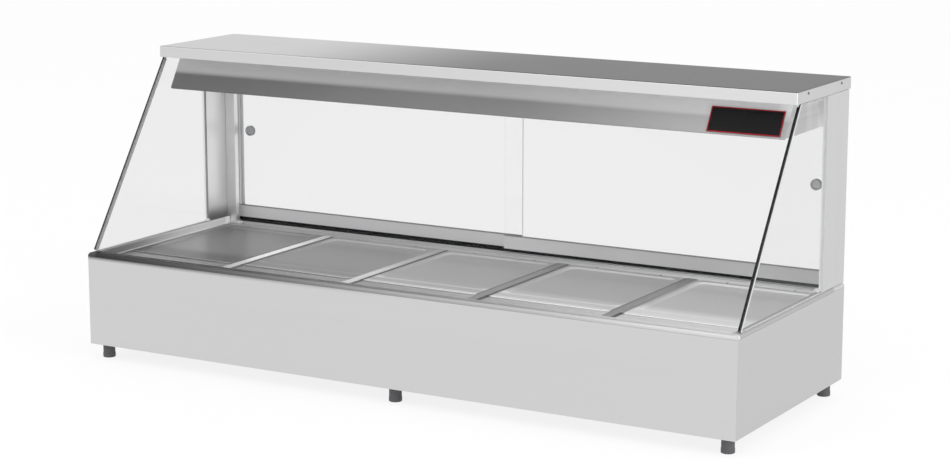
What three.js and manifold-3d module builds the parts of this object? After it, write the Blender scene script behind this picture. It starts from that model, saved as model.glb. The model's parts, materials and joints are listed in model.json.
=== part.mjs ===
// Countertop heated display case with straight sloped glass: five trays over a heated well, a canopy
// with a lamp hood, and two glass doors that slide past each other on the operator's side.
//
// Millimetres, +Z up. Inside the case every place is measured from the middle of its width (x), from
// the front face of the base (y, going back) and from the underside of the base (z). The whole case is
// then set on its feet, with the origin at the centre of its footprint.
import * as THREE from 'three';
import { mergeVertices } from 'three/addons/utils/BufferGeometryUtils.js';
import Module from 'manifold-3d';

// Fits shared by the whole case
const SEAT_GAP = 0.3; // between pieces that rest on, against or inside each other
const CUT_OVERRUN = 5; // how far a cutting solid runs past what it cuts
const WELD_LAP = 1; // how far two solids run into each other where they are joined

// Base
const BASE_WIDTH = 1680;
const BASE_DEPTH = 586;
const PANEL_HEIGHT = 213;
const PANEL_SHEET = 2;
const REAR_PANEL_INSET = 12; // the side panels run past the rear panel and shield its controls
const FOOT_HEIGHT = 35;
const FOOT_RADIUS = 15;
const FOOT_CHAMFER = 1.5;
const FOOT_SIDE_INSET = 30;
const FOOT_FRONT_INSET = 32;
const FOOT_REAR_INSET = 30;

// Deck and its raised rim
const DECK_SHEET = 2;
const RIM_RISE = 10.5; // from the top of the panels to the top of the rim
const RIM_BEND_RADIUS = 8;
const RIM_INNER_RADIUS = 3.5;
const RIM_FRONT_WIDTH = 26;
const RIM_SIDE_WIDTH = 20;
const DECK_DROP = 19; // from the top of the rim down to the deck
const DECK_FILLET = 3;

// Bays
const BAY_COUNT = 5;
const BAY_SIDE_MARGIN = 10; // from the side of the base to the outermost bay's share of the width
const BAR_RIB_WIDTH = 22;
const BAR_RISE = 3;
const BAR_LEDGE_REACH = 11;
const BAR_LEDGE_THICKNESS = 3;
const BAR_WEB_DEPTH = 12;
const BAR_WEB_WIDTH = 8;
const BAR_FRONT_CLEARANCE = 2.5;
const BAR_REAR_LAP = 9;

// Trays
const TRAY_SHEET = 1.5;
const TRAY_SIDE_GAP = 3;
const TRAY_FRONT_SETBACK = 133;
const TRAY_REAR_SETBACK = 69; // from the rear of the base
const TRAY_FRONT_FLANGE = 50;
const TRAY_EDGE_FLANGE = 12;
const TRAY_DISH_DEPTH = 3;
const TRAY_WALL_RUN = 9;
const TRAY_CORNER_RADIUS = 5;
const TRAY_MOUTH_RADIUS = 20;
const TRAY_LEDGE_CLEARANCE = 4; // from the mouth of the dish to the edge that carries the flange

// Heated well
const WELL_SHEET = 1.5;
const WELL_DEPTH = 80;
const WELL_WALL_CLEARANCE = 3;
const WELL_FLANGE_REACH = 10;
const ELEMENT_RADIUS = 4;
const ELEMENT_LEG_SPACING = 150;
const ELEMENT_HEIGHT = 30; // axis above the floor of the well
const ELEMENT_MIDDLE_GAP = 60; // between the two elements
const ELEMENT_PLATE_THICKNESS = 3;
const ELEMENT_PLATE_MARGIN = 12;
const SADDLE_WIDTH = 12;
const SADDLE_LENGTH = 16;

// Posts, jambs and sliding doors
const POST_THICKNESS = 10;
const POST_SIDE_INSET = 2;
const POST_DEPTH = 124;
const POST_SHEET = 1.5;
const JAMB_DEPTH = 41;
const JAMB_WIDTH = 17; // where it stands on the deck
const JAMB_FRONT_LEG = 15;
const JAMB_REAR_LEG = 2;
const JAMB_POCKET_DEPTH = 10;
const DOOR_REAR_SETBACK = 20.5; // from the rear of the base to the middle of the front door
const DOOR_SPACING = 12.5; // from the front door to the rear door
const DOOR_GLASS = 5;
const DOOR_LAP = 42; // how far the closed doors overlap in the middle
const DOOR_END_CLEARANCE = 1.5;
const DOOR_RAIL_THICKNESS = 10;
const DOOR_RAIL_HEIGHT = 37;
const DOOR_RAIL_GLASS_BITE = 22;
const DOOR_GUIDE_CLEARANCE = 0.7;
const TRACK_BASE_THICKNESS = 3;
const TRACK_RIB_HEIGHT = 6.5;
const TRACK_RIB_WIDTH = 3;
const TRACK_SHADOW_GAP = 3; // between the track's base and a door rail
const TRACK_SIDE_MARGIN = 4;
const HEAD_TRACK_HEIGHT = 19;
const HEAD_TRACK_WEB = 2.5;
const HEAD_TRACK_SIDE = 5;
const DOOR_HEAD_CLEARANCE = 4; // above the door glass, so that a door lifts off its rib
const PULL_RADIUS = 13;
const PULL_BARREL_RADIUS = 9.5;
const PULL_FLANGE = 1.6;
const PULL_DISH_RADIUS = 10;
const PULL_DISH_DEPTH = 2.6;
const PULL_SIDE_INSET = 34;
const PULL_HEIGHT = 443;

// Display glass
const GLASS = 6;
const GLASS_LEAN = THREE.MathUtils.degToRad(33.7); // of the front glass, from upright
const GLASS_SETBACK = 20;
const GLASS_SIDE_INSET = 2;

// Canopy
const CANOPY_UNDERSIDE = 659;
const CANOPY_HEIGHT = 27;
const CANOPY_SIDE_INSET = 3.5;
const CANOPY_FRONT_OVERHANG = 16; // past the top of the front glass
const CANOPY_REAR_OVERHANG = 14; // past the rear of the base
const CANOPY_SHEET = 2;
const CANOPY_EDGE_RADIUS = 3;
const CANOPY_CORNER_RADIUS = 3;
const LINER_SHEET = 1.5;

// Lamp hood and heat lamps
const HOOD_SIDE_INSET = 31;
const HOOD_DROP = 74.5;
const HOOD_SETBACK = 5; // lower edge behind the front of the canopy
const HOOD_LEAN_RUN = 43;
const HOOD_REAR_SETBACK = 75; // from the rear of the canopy
const HOOD_SHEET = 1.5;
const REFLECTOR_SHEET = 1.2;
const REFLECTOR_TOP_WIDTH = 70;
const REFLECTOR_SIDE_RUN = 34;
const REFLECTOR_SIDE_DROP = 42;
const REFLECTOR_END_CLEARANCE = 20;
const LAMP_RADIUS = 6;
const LAMP_CAP_RADIUS = 4.5;
const LAMP_CAP_LENGTH = 16;
const LAMP_DROP = 32; // axis below the reflector
const LAMP_MIDDLE_GAP = 24; // between the two lamps
const LAMP_END_INSET = 10; // from the reflector's end to the lamp's end
const HOLDER_WIDTH = 24;
const HOLDER_LENGTH = 14;
const HOLDER_WALL = 6;
const HOLDER_OVERHANG = 2; // how far a lamp's end passes its holder

// Bare plate on the hood
const BADGE_WIDTH = 171;
const BADGE_HEIGHT = 59;
const BADGE_THICKNESS = 2;
const BADGE_SIDE_INSET = 12; // from the end of the hood
const BADGE_EDGE_MARGIN = 3; // from the lower edge of the hood

// Controls on the operator's side
const CONTROL_WIDTH = 196;
const CONTROL_HEIGHT = 104;
const CONTROL_SHEET = 1.5;
const CONTROL_CORNER_RADIUS = 6;
const CONTROL_LAP = 20; // how far the plate covers the rim of its cut-out
const CONTROL_SIDE_INSET = 56;
const CONTROL_CENTRE_HEIGHT = 108;
const KNOB_RADIUS = 20;
const KNOB_HEIGHT = 16;
const KNOB_SKIRT = 4;
const KNOB_GRIP_RADIUS = 16;
const KNOB_BAR_WIDTH = 9;
const KNOB_CHAMFER = 1.2;
const SHAFT_RADIUS = 3;
const SHAFT_LENGTH = 12;
const THERMOSTAT_SIZE = 42;
const THERMOSTAT_DEPTH = 30;
const SWITCH_WIDTH = 21;
const SWITCH_HEIGHT = 32;
const SWITCH_FLANGE = 2;
const SWITCH_WALL = 2;
const SWITCH_DEPTH = 22;
const SWITCH_FLANGE_LAP = 2.5;
const SWITCH_POCKET_DEPTH = 7;
const ROCKER_TILT = THREE.MathUtils.degToRad(8);
const ROCKER_PIVOT_DEPTH = 2; // behind the face of the switch
const ROCKER_END_RISE = 4.6;
const ROCKER_MIDDLE_RISE = 3.2;
const ROCKER_BACK = 2;
const ROCKER_END_CLEARANCE = 1.4;
const ROCKER_PIN_RADIUS = 1.2;
const ROCKER_PIN_REACH = 1;
const PILOT_RADIUS = 6.5;
const PILOT_STEM_RADIUS = 5;
const PILOT_STEM_LENGTH = 18;
const PILOT_RISE = 5;
const GLAND_RADIUS = 12;
const GLAND_NUT_THICKNESS = 5;
const GLAND_NOSE_RADIUS = 8.5;
const GLAND_NOSE_LENGTH = 6;
const GLAND_BORE_RADIUS = 4.5;
const GLAND_STEM_RADIUS = 8;
const GLAND_STEM_LENGTH = 12;
const GLAND_SIDE_INSET = 110;
const GLAND_HEIGHT = 46;

// Vents
const VENT_LENGTH = 60;
const VENT_WIDTH = 4;
const VENT_PITCH = 11;
const VENT_ROWS = 6;
const VENT_COLUMNS = 3;
const VENT_COLUMN_PITCH = 190;
const VENT_FIRST_HEIGHT = 60;
const FLOOR_VENT_ROWS = 4;

// Facets of round forms
const ROUND_SIDES = 24;
const SMALL_ROUND_SIDES = 16;
const CORNER_STEPS = 4;
const BEND_STEPS = 3;

// Places that follow from the sizes above
const baseSide = BASE_WIDTH / 2;
const rimTop = PANEL_HEIGHT + RIM_RISE;
const deckTop = rimTop - DECK_DROP;
const deckUnderside = deckTop - DECK_SHEET;
const rearPanelFace = BASE_DEPTH - REAR_PANEL_INSET;
const bayPitch = (BASE_WIDTH - 2 * BAY_SIDE_MARGIN) / BAY_COUNT;
const trayWidth = bayPitch - BAR_RIB_WIDTH - 2 * TRAY_SIDE_GAP;
const trayRear = BASE_DEPTH - TRAY_REAR_SETBACK;
const mouthFront = TRAY_FRONT_SETBACK + TRAY_FRONT_FLANGE;
const mouthRear = trayRear - TRAY_EDGE_FLANGE;
const mouthSide = trayWidth / 2 - TRAY_EDGE_FLANGE;
const openingFront = mouthFront - TRAY_LEDGE_CLEARANCE;
const openingRear = mouthRear + TRAY_LEDGE_CLEARANCE;
const openingSide = (BAY_COUNT - 1) / 2 * bayPitch + mouthSide + TRAY_LEDGE_CLEARANCE;
const glassFoot = rimTop + SEAT_GAP;
const headHeight = CANOPY_UNDERSIDE - SEAT_GAP; // of all that stands under the canopy
const glassSin = Math.sin(GLASS_LEAN);
const glassCos = Math.cos(GLASS_LEAN);
const glassTan = Math.tan(GLASS_LEAN);
const glassBackFoot = GLASS_SETBACK + GLASS * glassCos;
const glassRise = headHeight - glassFoot - GLASS * glassSin;
const glassHeadFront = GLASS_SETBACK + glassRise * glassTan;
const postFront = BASE_DEPTH - POST_DEPTH;
const postOuter = baseSide - POST_SIDE_INSET;
const postInner = postOuter - POST_THICKNESS;
const jambFront = BASE_DEPTH - JAMB_DEPTH;
const jambOuter = baseSide - RIM_SIDE_WIDTH - DECK_FILLET - SEAT_GAP; // on the flat of the deck
const jambInner = jambOuter - JAMB_WIDTH;
const pocketSide = jambInner + JAMB_POCKET_DEPTH;
const doorOuterEnd = pocketSide - DOOR_END_CLEARANCE;
const doorFrontCentre = BASE_DEPTH - DOOR_REAR_SETBACK;
const doorCentres = { right: doorFrontCentre, left: doorFrontCentre + DOOR_SPACING };
const trackFoot = deckTop + SEAT_GAP;
const trackFloor = trackFoot + TRACK_BASE_THICKNESS;
const trackRibTop = trackFloor + TRACK_RIB_HEIGHT;
const trackFront = doorFrontCentre - DOOR_RAIL_THICKNESS / 2 - TRACK_SIDE_MARGIN;
const canopySide = baseSide - CANOPY_SIDE_INSET;
const canopyFront = glassHeadFront - CANOPY_FRONT_OVERHANG;
const canopyRear = BASE_DEPTH + CANOPY_REAR_OVERHANG;
const canopyTop = CANOPY_UNDERSIDE + CANOPY_HEIGHT;
const hoodSide = baseSide - HOOD_SIDE_INSET;
const hoodFront = canopyFront + HOOD_SETBACK;
const hoodRear = canopyRear - HOOD_REAR_SETBACK;
const hoodFoot = CANOPY_UNDERSIDE - HOOD_DROP;
const hoodCeiling = headHeight - HOOD_SHEET;

const wasm = await Module();
wasm.setup();

const looks = {
  steel: { color: 0xcfd0d0, roughness: 0.38, metalness: 0.9 },
  brightSteel: { color: 0xdcdddd, roughness: 0.25, metalness: 0.95 },
  darkSteel: { color: 0x8c8e90, roughness: 0.45, metalness: 0.85 },
  aluminium: { color: 0xb9bbbd, roughness: 0.4, metalness: 0.9 },
  glass: { color: 0xe9efee, roughness: 0.05, metalness: 0, transparent: true, opacity: 0.25 },
  quartz: { color: 0xf0e6da, roughness: 0.2, metalness: 0 },
  ceramic: { color: 0xe8e4da, roughness: 0.7, metalness: 0 },
  element: { color: 0x3d3a38, roughness: 0.6, metalness: 0.6 },
  rubber: { color: 0x55565a, roughness: 0.8, metalness: 0 },
  blackPlastic: { color: 0x17181a, roughness: 0.45, metalness: 0 },
  redPlastic: { color: 0xb3201c, roughness: 0.3, metalness: 0 },
};

// One named piece of the case, in its own material
function piece(name, geometry, look) {
  const mesh = new THREE.Mesh(geometry, new THREE.MeshStandardMaterial(look));
  mesh.name = name;
  return mesh;
}

// Points of a bend about a centre, from one angle to another
function bend(a, b, radius, fromDegrees, toDegrees, steps = BEND_STEPS) {
  return Array.from({ length: steps + 1 }, (_, step) => {
    const angle = THREE.MathUtils.degToRad(fromDegrees + (toDegrees - fromDegrees) * step / steps);
    return [a + radius * Math.cos(angle), b + radius * Math.sin(angle)];
  });
}

// A shape from a list of [a, b] points, with holes given the same way or as paths
function outline(points, holes = []) {
  const shape = new THREE.Shape(points.map(([a, b]) => new THREE.Vector2(a, b)));
  shape.holes = holes;
  return shape;
}

function rectangle(a0, b0, a1, b1) {
  return outline([[a0, b0], [a1, b0], [a1, b1], [a0, b1]]);
}

function holePath(points) {
  return new THREE.Path(points.map(([a, b]) => new THREE.Vector2(a, b)));
}

function circlePath(a, b, radius, sides = SMALL_ROUND_SIDES) {
  return holePath(bend(a, b, radius, 0, 360 * (1 - sides) / sides, sides - 1));
}

// A slot with round ends, its length along the first axis
function slotPath(a, b, length, width) {
  const reach = (length - width) / 2;
  return holePath([
    ...bend(a + reach, b, width / 2, 90, -90, CORNER_STEPS),
    ...bend(a - reach, b, width / 2, 270, 90, CORNER_STEPS),
  ]);
}

function rectanglePath(a0, b0, a1, b1) {
  return holePath([[a0, b0], [a0, b1], [a1, b1], [a1, b0]]);
}

// Extrusions along each axis. A (y, z) shape runs along x, an (x, z) shape along y, an (x, y) shape up
function alongX(shape, x0, x1, curveSegments = CORNER_STEPS) {
  const geometry = new THREE.ExtrudeGeometry(shape, { depth: x1 - x0, bevelEnabled: false, curveSegments });
  const turn = new THREE.Matrix4().makeBasis(
    new THREE.Vector3(0, 1, 0),
    new THREE.Vector3(0, 0, 1),
    new THREE.Vector3(1, 0, 0),
  );
  return geometry.applyMatrix4(turn).translate(x0, 0, 0);
}

function alongY(shape, y0, y1, curveSegments = CORNER_STEPS) {
  const geometry = new THREE.ExtrudeGeometry(shape, { depth: y1 - y0, bevelEnabled: false, curveSegments });
  return geometry.rotateX(Math.PI / 2).translate(0, y1, 0);
}

function upward(shape, z0, z1, curveSegments = CORNER_STEPS) {
  const geometry = new THREE.ExtrudeGeometry(shape, { depth: z1 - z0, bevelEnabled: false, curveSegments });
  return geometry.translate(0, 0, z0);
}

function block(x0, y0, z0, x1, y1, z1) {
  return upward(rectangle(x0, y0, x1, y1), z0, z1);
}

// A turned form along y from [radius, y] points that start and end on the axis or close on themselves
function turnedAlongY(points, sides = ROUND_SIDES) {
  return new THREE.LatheGeometry(points.map(([r, y]) => new THREE.Vector2(r, y)), sides);
}

function turnedAlongX(points, sides = ROUND_SIDES) {
  return turnedAlongY(points, sides).rotateZ(-Math.PI / 2);
}

function turnedUpward(points, sides = ROUND_SIDES) {
  return turnedAlongY(points, sides).rotateX(Math.PI / 2);
}

// Triangles that fill a flat ring, wound as the ring runs or the other way round
function capFaces(ring, offset, reversed) {
  const ringTurn = Math.sign(THREE.ShapeUtils.area(ring));
  return THREE.ShapeUtils.triangulateShape(ring, []).map(([a, b, c]) => {
    const follows = Math.sign(THREE.ShapeUtils.area([ring[a], ring[b], ring[c]])) === ringTurn;
    const face = follows === reversed ? [a, c, b] : [a, b, c];
    return face.map((corner) => corner + offset);
  });
}

// A closed skin over rings of equal counts of points, capped at both ends. The caps are filled on the
// plane that flatten gives
function loft(rings, flatten) {
  const count = rings[0].length;
  const positions = rings.flat().flatMap((point) => [point.x, point.y, point.z]);
  const faces = [];
  for (let ring = 0; ring < rings.length - 1; ring += 1) {
    for (let side = 0; side < count; side += 1) {
      const a = ring * count + side;
      const b = ring * count + (side + 1) % count;
      faces.push([a, b, b + count], [a, b + count, a + count]);
    }
  }
  faces.push(...capFaces(rings[0].map(flatten), 0, true));
  faces.push(...capFaces(rings.at(-1).map(flatten), (rings.length - 1) * count, false));
  const geometry = new THREE.BufferGeometry();
  geometry.setAttribute('position', new THREE.Float32BufferAttribute(positions, 3));
  geometry.setIndex(faces.flat());
  return facedOut(geometry);
}

// The same geometry with its faces pointing out
function facedOut(geometry) {
  const place = geometry.attributes.position;
  const index = geometry.index;
  const [a, b, c] = [new THREE.Vector3(), new THREE.Vector3(), new THREE.Vector3()];
  let volume = 0;
  for (let i = 0; i < index.count; i += 3) {
    a.fromBufferAttribute(place, index.getX(i));
    b.fromBufferAttribute(place, index.getX(i + 1));
    c.fromBufferAttribute(place, index.getX(i + 2));
    volume += a.dot(b.cross(c));
  }
  if (volume < 0) {
    for (let i = 0; i < index.count; i += 3) {
      const second = index.getX(i + 1);
      index.setX(i + 1, index.getX(i + 2));
      index.setX(i + 2, second);
    }
  }
  return geometry;
}

// Joins and cuts
function toSolid(geometry) {
  const bare = geometry.clone();
  bare.deleteAttribute('normal');
  bare.deleteAttribute('uv');
  const merged = mergeVertices(bare);
  return new wasm.Manifold(new wasm.Mesh({
    numProp: 3,
    vertProperties: merged.attributes.position.array,
    triVerts: Uint32Array.from(merged.index.array),
  }));
}

function toGeometry(solid) {
  const mesh = solid.getMesh();
  const geometry = new THREE.BufferGeometry();
  geometry.setAttribute('position', new THREE.BufferAttribute(mesh.vertProperties, mesh.numProp));
  geometry.setIndex(new THREE.BufferAttribute(mesh.triVerts, 1));
  return geometry;
}

function joined(...geometries) {
  return toGeometry(geometries.map(toSolid).reduce((whole, next) => whole.add(next)));
}

function cut(geometry, ...cutters) {
  return toGeometry(cutters.map(toSolid).reduce((whole, next) => whole.subtract(next), toSolid(geometry)));
}

// A level ring round a rectangle with round corners
function roundedRing(x0, y0, x1, y1, z, radius, steps = CORNER_STEPS) {
  const corners = [
    bend(x1 - radius, y1 - radius, radius, 0, 90, steps),
    bend(x0 + radius, y1 - radius, radius, 90, 180, steps),
    bend(x0 + radius, y0 + radius, radius, 180, 270, steps),
    bend(x1 - radius, y0 + radius, radius, 270, 360, steps),
  ];
  return corners.flat().map(([x, y]) => new THREE.Vector3(x, y, z));
}

const ontoLevel = (point) => new THREE.Vector2(point.x, point.y);

// Base: five sheet panels that stand on six feet
function baseFrontPanel() {
  const sheet = block(-baseSide, 0, 0, baseSide, PANEL_SHEET, PANEL_HEIGHT);
  return piece('base_front_panel', sheet, looks.steel);
}

function baseSidePanel(side) {
  const outer = side * baseSide;
  const inner = side * (baseSide - PANEL_SHEET);
  const sheet = block(
    Math.min(outer, inner), PANEL_SHEET + SEAT_GAP, 0,
    Math.max(outer, inner), BASE_DEPTH, PANEL_HEIGHT,
  );
  return piece(side < 0 ? 'base_side_left' : 'base_side_right', sheet, looks.steel);
}

const innerSide = baseSide - PANEL_SHEET - SEAT_GAP; // of what fits between the side panels

function controlCentre() {
  return -(baseSide - CONTROL_SIDE_INSET - CONTROL_WIDTH / 2);
}

function glandCentre() {
  return baseSide - GLAND_SIDE_INSET;
}

function baseRearPanel() {
  const vents = [];
  for (let column = 0; column < VENT_COLUMNS; column += 1) {
    const x = (column - (VENT_COLUMNS - 1) / 2) * VENT_COLUMN_PITCH;
    for (let row = 0; row < VENT_ROWS; row += 1) {
      vents.push(slotPath(x, VENT_FIRST_HEIGHT + row * VENT_PITCH, VENT_LENGTH, VENT_WIDTH));
    }
  }
  const reachX = CONTROL_WIDTH / 2 - CONTROL_LAP;
  const reachZ = CONTROL_HEIGHT / 2 - CONTROL_LAP;
  const cutOut = rectanglePath(
    controlCentre() - reachX, CONTROL_CENTRE_HEIGHT - reachZ,
    controlCentre() + reachX, CONTROL_CENTRE_HEIGHT + reachZ,
  );
  const glandHole = circlePath(glandCentre(), GLAND_HEIGHT, GLAND_STEM_RADIUS + SEAT_GAP);
  const shape = rectangle(-innerSide, 0, innerSide, deckUnderside - SEAT_GAP);
  shape.holes = [...vents, cutOut, glandHole];
  const sheet = alongY(shape, rearPanelFace - PANEL_SHEET, rearPanelFace);
  return piece('base_rear_panel', sheet, looks.steel);
}

function baseFloor() {
  const front = PANEL_SHEET + SEAT_GAP;
  const rear = rearPanelFace - PANEL_SHEET - SEAT_GAP;
  const vents = [];
  for (const side of [-1, 1]) {
    for (let row = 0; row < FLOOR_VENT_ROWS; row += 1) {
      const y = BASE_DEPTH / 2 + (row - (FLOOR_VENT_ROWS - 1) / 2) * VENT_PITCH;
      vents.push(slotPath(side * baseSide / 2, y, VENT_LENGTH, VENT_WIDTH));
    }
  }
  const shape = rectangle(-innerSide, front, innerSide, rear);
  shape.holes = vents;
  return piece('base_floor', upward(shape, 0, PANEL_SHEET), looks.steel);
}

function feet() {
  const rows = { front: FOOT_FRONT_INSET, rear: BASE_DEPTH - FOOT_REAR_INSET };
  const columns = { left: -(baseSide - FOOT_SIDE_INSET), centre: 0, right: baseSide - FOOT_SIDE_INSET };
  const profile = [
    [0, -FOOT_HEIGHT],
    [FOOT_RADIUS - FOOT_CHAMFER, -FOOT_HEIGHT],
    [FOOT_RADIUS, -FOOT_HEIGHT + FOOT_CHAMFER],
    [FOOT_RADIUS, -SEAT_GAP],
    [0, -SEAT_GAP],
  ];
  const all = [];
  for (const [row, y] of Object.entries(rows)) {
    for (const [column, x] of Object.entries(columns)) {
      const foot = piece(`foot_${row}_${column}`, turnedUpward(profile), looks.rubber);
      foot.position.set(x, y, 0);
      all.push(foot);
    }
  }
  return all;
}

// Section of the rim: [inward from the base's face, height], from the skirt over the top, down to the
// deck and back along the underside of the sheet
function rimSection(width) {
  const skirt = PANEL_HEIGHT + SEAT_GAP;
  const outerBend = RIM_BEND_RADIUS;
  const innerBend = RIM_INNER_RADIUS;
  const reach = width + DECK_FILLET + WELD_LAP;
  return [
    [0, skirt],
    ...bend(outerBend, rimTop - outerBend, outerBend, 180, 90),
    ...bend(width - innerBend, rimTop - innerBend, innerBend, 90, 0),
    ...bend(width + DECK_FILLET, deckTop + DECK_FILLET, DECK_FILLET, 180, 270),
    [reach, deckTop],
    [reach, deckUnderside],
    ...bend(width + DECK_FILLET, deckTop + DECK_FILLET, DECK_FILLET + DECK_SHEET, 270, 180),
    ...bend(width - innerBend, rimTop - innerBend, innerBend - DECK_SHEET, 0, 90),
    ...bend(outerBend, rimTop - outerBend, outerBend - DECK_SHEET, 90, 180),
    [DECK_SHEET, skirt],
  ];
}

// Deck with its rim, which runs round the front and both sides with mitred corners
function deckFrame() {
  const front = rimSection(RIM_FRONT_WIDTH);
  const side = rimSection(RIM_SIDE_WIDTH);
  const rim = loft([
    side.map(([inward, z]) => new THREE.Vector3(-baseSide + inward, BASE_DEPTH, z)),
    side.map(([inward, z], i) => new THREE.Vector3(-baseSide + inward, front[i][0], z)),
    side.map(([inward, z], i) => new THREE.Vector3(baseSide - inward, front[i][0], z)),
    side.map(([inward, z]) => new THREE.Vector3(baseSide - inward, BASE_DEPTH, z)),
  ], (point) => new THREE.Vector2(point.x, point.z));
  const plateSide = baseSide - RIM_SIDE_WIDTH - DECK_FILLET;
  const plateFront = RIM_FRONT_WIDTH + DECK_FILLET;
  const shape = rectangle(-plateSide, plateFront, plateSide, BASE_DEPTH);
  shape.holes = [rectanglePath(-openingSide, openingFront, openingSide, openingRear)];
  return piece('deck_frame', joined(rim, upward(shape, deckUnderside, deckTop)), looks.steel);
}

// A bar between two bays: a rib that lies on the deck in front and behind, and spans the well on a web
// with a ledge on each side that carries the trays
function dividerBar(number) {
  const ribHalf = BAR_RIB_WIDTH / 2;
  const ribFoot = deckTop + SEAT_GAP;
  const front = openingFront + SEAT_GAP;
  const rear = openingRear - SEAT_GAP;
  const tip = RIM_FRONT_WIDTH + DECK_FILLET + BAR_FRONT_CLEARANCE;
  const rib = alongX(rectangle(tip, ribFoot, openingRear + BAR_REAR_LAP, deckTop + BAR_RISE), -ribHalf, ribHalf);
  const ledgeHalf = ribHalf + BAR_LEDGE_REACH;
  const ledgeFoot = deckTop - BAR_LEDGE_THICKNESS;
  const webHalf = BAR_WEB_WIDTH / 2;
  const webFoot = ledgeFoot - BAR_WEB_DEPTH;
  const section = outline([
    [-webHalf, webFoot], [webHalf, webFoot],
    [webHalf, ledgeFoot], [ledgeHalf, ledgeFoot],
    [ledgeHalf, deckTop], [ribHalf, deckTop],
    [ribHalf, deckTop + BAR_RISE], [-ribHalf, deckTop + BAR_RISE],
    [-ribHalf, deckTop], [-ledgeHalf, deckTop],
    [-ledgeHalf, ledgeFoot], [-webHalf, ledgeFoot],
  ]);
  const bar = piece(`divider_bar_${number}`, joined(rib, alongY(section, front, rear)), looks.brightSteel);
  bar.position.x = (number - BAY_COUNT / 2) * bayPitch;
  return bar;
}

// Drawn wall of a tray's dish: how far in and how far down it has come, from its mouth to its floor
const dishWallShares = [[0, 0], [0.1, 0.04], [0.26, 0.18], [0.74, 0.82], [0.9, 0.96], [1, 1]];

function foodTray(number) {
  const side = trayWidth / 2;
  const top = deckTop + SEAT_GAP + TRAY_SHEET;
  const wallRing = ([inShare, downShare], sheet) => roundedRing(
    -mouthSide + inShare * TRAY_WALL_RUN, mouthFront + inShare * TRAY_WALL_RUN,
    mouthSide - inShare * TRAY_WALL_RUN, mouthRear - inShare * TRAY_WALL_RUN,
    top - sheet - downShare * TRAY_DISH_DEPTH,
    TRAY_MOUTH_RADIUS - inShare * TRAY_WALL_RUN,
  );
  const edge = (z) => roundedRing(-side, TRAY_FRONT_SETBACK, side, trayRear, z, TRAY_CORNER_RADIUS);
  const rings = [
    ...dishWallShares.toReversed().map((shares) => wallRing(shares, TRAY_SHEET)),
    edge(top - TRAY_SHEET),
    edge(top),
    ...dishWallShares.map((shares) => wallRing(shares, 0)),
  ];
  const tray = piece(`food_tray_${number}`, loft(rings, ontoLevel), looks.brightSteel);
  tray.position.x = (number - (BAY_COUNT + 1) / 2) * bayPitch;
  return tray;
}

// Well under the trays, an open box hung from the deck by its flange, with saddles for the elements
const wellSide = openingSide + WELL_WALL_CLEARANCE;
const wellFront = openingFront - WELL_WALL_CLEARANCE;
const wellRear = openingRear + WELL_WALL_CLEARANCE;
const wellTop = deckUnderside - SEAT_GAP;
const wellFloor = wellTop - WELL_DEPTH;
const elementHeight = wellFloor + ELEMENT_HEIGHT;
const elementCentre = (wellFront + wellRear) / 2;
const elementPlateSide = wellSide - SEAT_GAP;
const elementInner = ELEMENT_MIDDLE_GAP / 2 + ELEMENT_RADIUS;

function wellTank() {
  const reach = WELL_FLANGE_REACH + WELL_SHEET;
  const flange = block(
    -wellSide - reach, wellFront - reach, wellTop - WELL_SHEET,
    wellSide + reach, wellRear + reach, wellTop,
  );
  const outer = block(
    -wellSide - WELL_SHEET, wellFront - WELL_SHEET, wellFloor - WELL_SHEET,
    wellSide + WELL_SHEET, wellRear + WELL_SHEET, wellTop,
  );
  const inner = block(-wellSide, wellFront, wellFloor, wellSide, wellRear, wellTop + CUT_OVERRUN);
  const saddles = [];
  const saddleTop = elementHeight - ELEMENT_RADIUS - SEAT_GAP;
  for (const side of [-1, 1]) {
    const middle = side * (wellSide + ELEMENT_MIDDLE_GAP / 2) / 2;
    for (const leg of [-1, 1]) {
      const y = elementCentre + leg * ELEMENT_LEG_SPACING / 2;
      saddles.push(block(
        middle - SADDLE_LENGTH / 2, y - SADDLE_WIDTH / 2, wellFloor - WELD_LAP,
        middle + SADDLE_LENGTH / 2, y + SADDLE_WIDTH / 2, saddleTop,
      ));
    }
  }
  const tank = joined(cut(joined(flange, outer), inner), ...saddles);
  return piece('well_tank', tank, looks.darkSteel);
}

// A sheathed element bent into a hairpin, with the plate that fastens both ends to the well's end wall
function heatingElement(side) {
  const legHalf = ELEMENT_LEG_SPACING / 2;
  const turn = elementInner + legHalf;
  const end = elementPlateSide - ELEMENT_PLATE_THICKNESS + WELD_LAP;
  const steps = 3 * CORNER_STEPS;
  const ringAt = (x, y, heading) => Array.from({ length: SMALL_ROUND_SIDES / 2 }, (_, i) => {
    const angle = i / (SMALL_ROUND_SIDES / 2) * 2 * Math.PI;
    const across = ELEMENT_RADIUS * Math.cos(angle);
    return new THREE.Vector3(
      side * (x - across * Math.sin(heading)),
      elementCentre + y + across * Math.cos(heading),
      elementHeight + ELEMENT_RADIUS * Math.sin(angle),
    );
  });
  const rings = [ringAt(end, legHalf, Math.PI)];
  for (let step = 0; step <= steps; step += 1) {
    const angle = Math.PI / 2 + Math.PI * step / steps;
    rings.push(ringAt(turn + legHalf * Math.cos(angle), legHalf * Math.sin(angle), angle + Math.PI / 2));
  }
  rings.push(ringAt(end, -legHalf, 2 * Math.PI));
  const rod = loft(rings, (point) => new THREE.Vector2(point.y, point.z));
  const plateInner = side * (elementPlateSide - ELEMENT_PLATE_THICKNESS);
  const plateOuter = side * elementPlateSide;
  const plateReach = legHalf + ELEMENT_PLATE_MARGIN;
  const plate = block(
    Math.min(plateInner, plateOuter), elementCentre - plateReach, elementHeight - ELEMENT_PLATE_MARGIN,
    Math.max(plateInner, plateOuter), elementCentre + plateReach, elementHeight + ELEMENT_PLATE_MARGIN,
  );
  return piece(side < 0 ? 'heating_element_left' : 'heating_element_right', joined(rod, plate), looks.element);
}

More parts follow.
